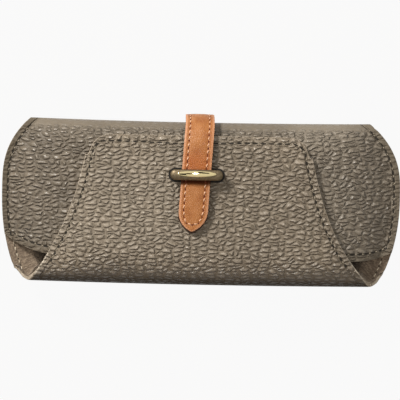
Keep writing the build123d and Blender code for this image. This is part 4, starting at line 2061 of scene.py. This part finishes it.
@dataclass(frozen=True)
class Studio:
    """Table, soft lights and the camera that looks straight down; lengths are metres."""

    distance: float = 1.1
    camera_lift: float = 0.012
    sensor: float = 36.0
    seen: float = 0.1751
    centre: tuple[float, float] = (-0.0004, 0.0007)
    roll: float = 1.17
    floor_half: float = 1.5
    floor_z: float = -0.0006
    floor_glow: float = 0.94
    bright_side: tuple[float, float, float] = (-0.12, 0.62, 0.77)
    room_light: float = 0.68
    cards: tuple[Card, ...] = (
        Card("left_card", "#14110E", -0.36, -0.12, 0.11, 0.2),
        Card("right_card", "#1C180F", 0.17, 0.25, 0.14, 0.16),
        Card("middle_card", "#6B5A36", -0.17, 0.05, 0.08, 0.09),
    )
    lamps: tuple[Softbox, ...] = (
        Softbox("key_softbox", (-0.47, 0.53, 0.48), 0.16, 8.2, "#FFFDF8"),
        Softbox("overhead_softbox", (-0.03, 0.1, 1.3), 0.1, 1.2, "#FFFFFF"),
        Softbox("warm_fill", (0.0, -0.9, 0.3), 0.4, 0.5, "#FFD2A8"),
    )

    def make(self) -> None:
        """Set up everything that isn't the case."""
        self.make_floor()
        self.make_world()
        for thing in (*self.lamps, *self.cards):
            thing.make()
        self.make_camera()

    def make_floor(self) -> None:
        """Make a wide table that the eye, metal and glass see white, and that keeps shadows."""
        bm = bmesh.new()
        bmesh.ops.create_grid(bm, x_segments=1, y_segments=1, size=self.floor_half)
        bmesh.ops.translate(bm, vec=(0, 0, self.floor_z), verts=bm.verts)
        material, add = new_material("white_table")
        path = add("LightPath")
        paper = add(
            "BsdfPrincipled",
            {"Base Color": linear("#6A625A"), "Roughness": 0.9, "Specular IOR Level": 0.1},
        )
        glow = add("Emission", {"Color": (1.0, 1.0, 1.0, 1.0), "Strength": 1.0})
        shown = path.outputs["Is Camera Ray"]
        for name in ("Is Glossy Ray", "Is Transmission Ray"):
            shown = add("Math", {0: shown, 1: path.outputs[name]}, operation="MAXIMUM")
        seen = add("Math", {0: shown, 1: self.floor_glow}, operation="MULTIPLY")
        mixed = add("MixShader", {0: seen, 1: paper, 2: glow})
        add("OutputMaterial", {"Surface": mixed})
        floor = link_mesh("white_table", bm, (material,), 1.0)

    def make_world(self) -> None:
        """Make a pale room that is brighter towards the top of the photo."""
        world = bpy.data.worlds.new("studio")
        bpy.context.scene.world = world
        world.use_nodes = True
        world.node_tree.nodes.clear()
        add = partial(add_node, world.node_tree)
        place = add("TexCoord").outputs["Generated"]
        along = add("VectorMath", {0: place, 1: self.bright_side}, operation="DOT_PRODUCT")
        level = add(
            "MapRange",
            {"Value": along.outputs["Value"], "From Min": -0.75, "From Max": 1.0,
             "To Min": 0.03, "To Max": self.room_light},
            interpolation_type="SMOOTHSTEP",
        )
        path = add("LightPath").outputs
        mirrored = add("Math", {0: path["Is Glossy Ray"], 1: 1 - self.room_light, 2: level},
                       operation="MULTIPLY_ADD")
        seen = add("Math", {0: path["Is Camera Ray"], 1: path["Is Transmission Ray"]},
                   operation="MAXIMUM")
        shown = add("Math", {0: mirrored, 1: seen}, operation="MAXIMUM")
        glow = add("Background", {"Color": linear("#F8F6F0"), "Strength": shown})
        add("OutputWorld", {"Surface": glow})

    def make_camera(self) -> None:
        """Place the camera straight above, rolled as the photo is."""
        data = bpy.data.cameras.new("camera")
        data.sensor_fit = "HORIZONTAL"
        data.sensor_width = self.sensor
        data.lens = self.sensor * self.distance / self.seen
        data.clip_end = 10
        camera = bpy.data.objects.new("camera", data)
        bpy.context.scene.collection.objects.link(camera)
        place = Matrix.Translation((*self.centre, self.distance + self.camera_lift))
        camera.matrix_world = place @ Matrix.Rotation(math.radians(self.roll), 4, "Z")
        bpy.context.scene.camera = camera


def main() -> None:
    """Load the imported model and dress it."""
    logging.basicConfig(level=logging.INFO, format="%(message)s")
    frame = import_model()
    finishes = Finishes()
    form = CaseForm()
    CasePouch(form, finishes).make()
    CaseFlap(form, finishes).make()
    TanStrap(finishes).make()
    BridgeLoop(finishes).make()
    dress_nodes(frame, finishes)
    Studio().make()
    bpy.context.scene.view_settings.view_transform = "Standard"


if __name__ == "__main__":
    main()
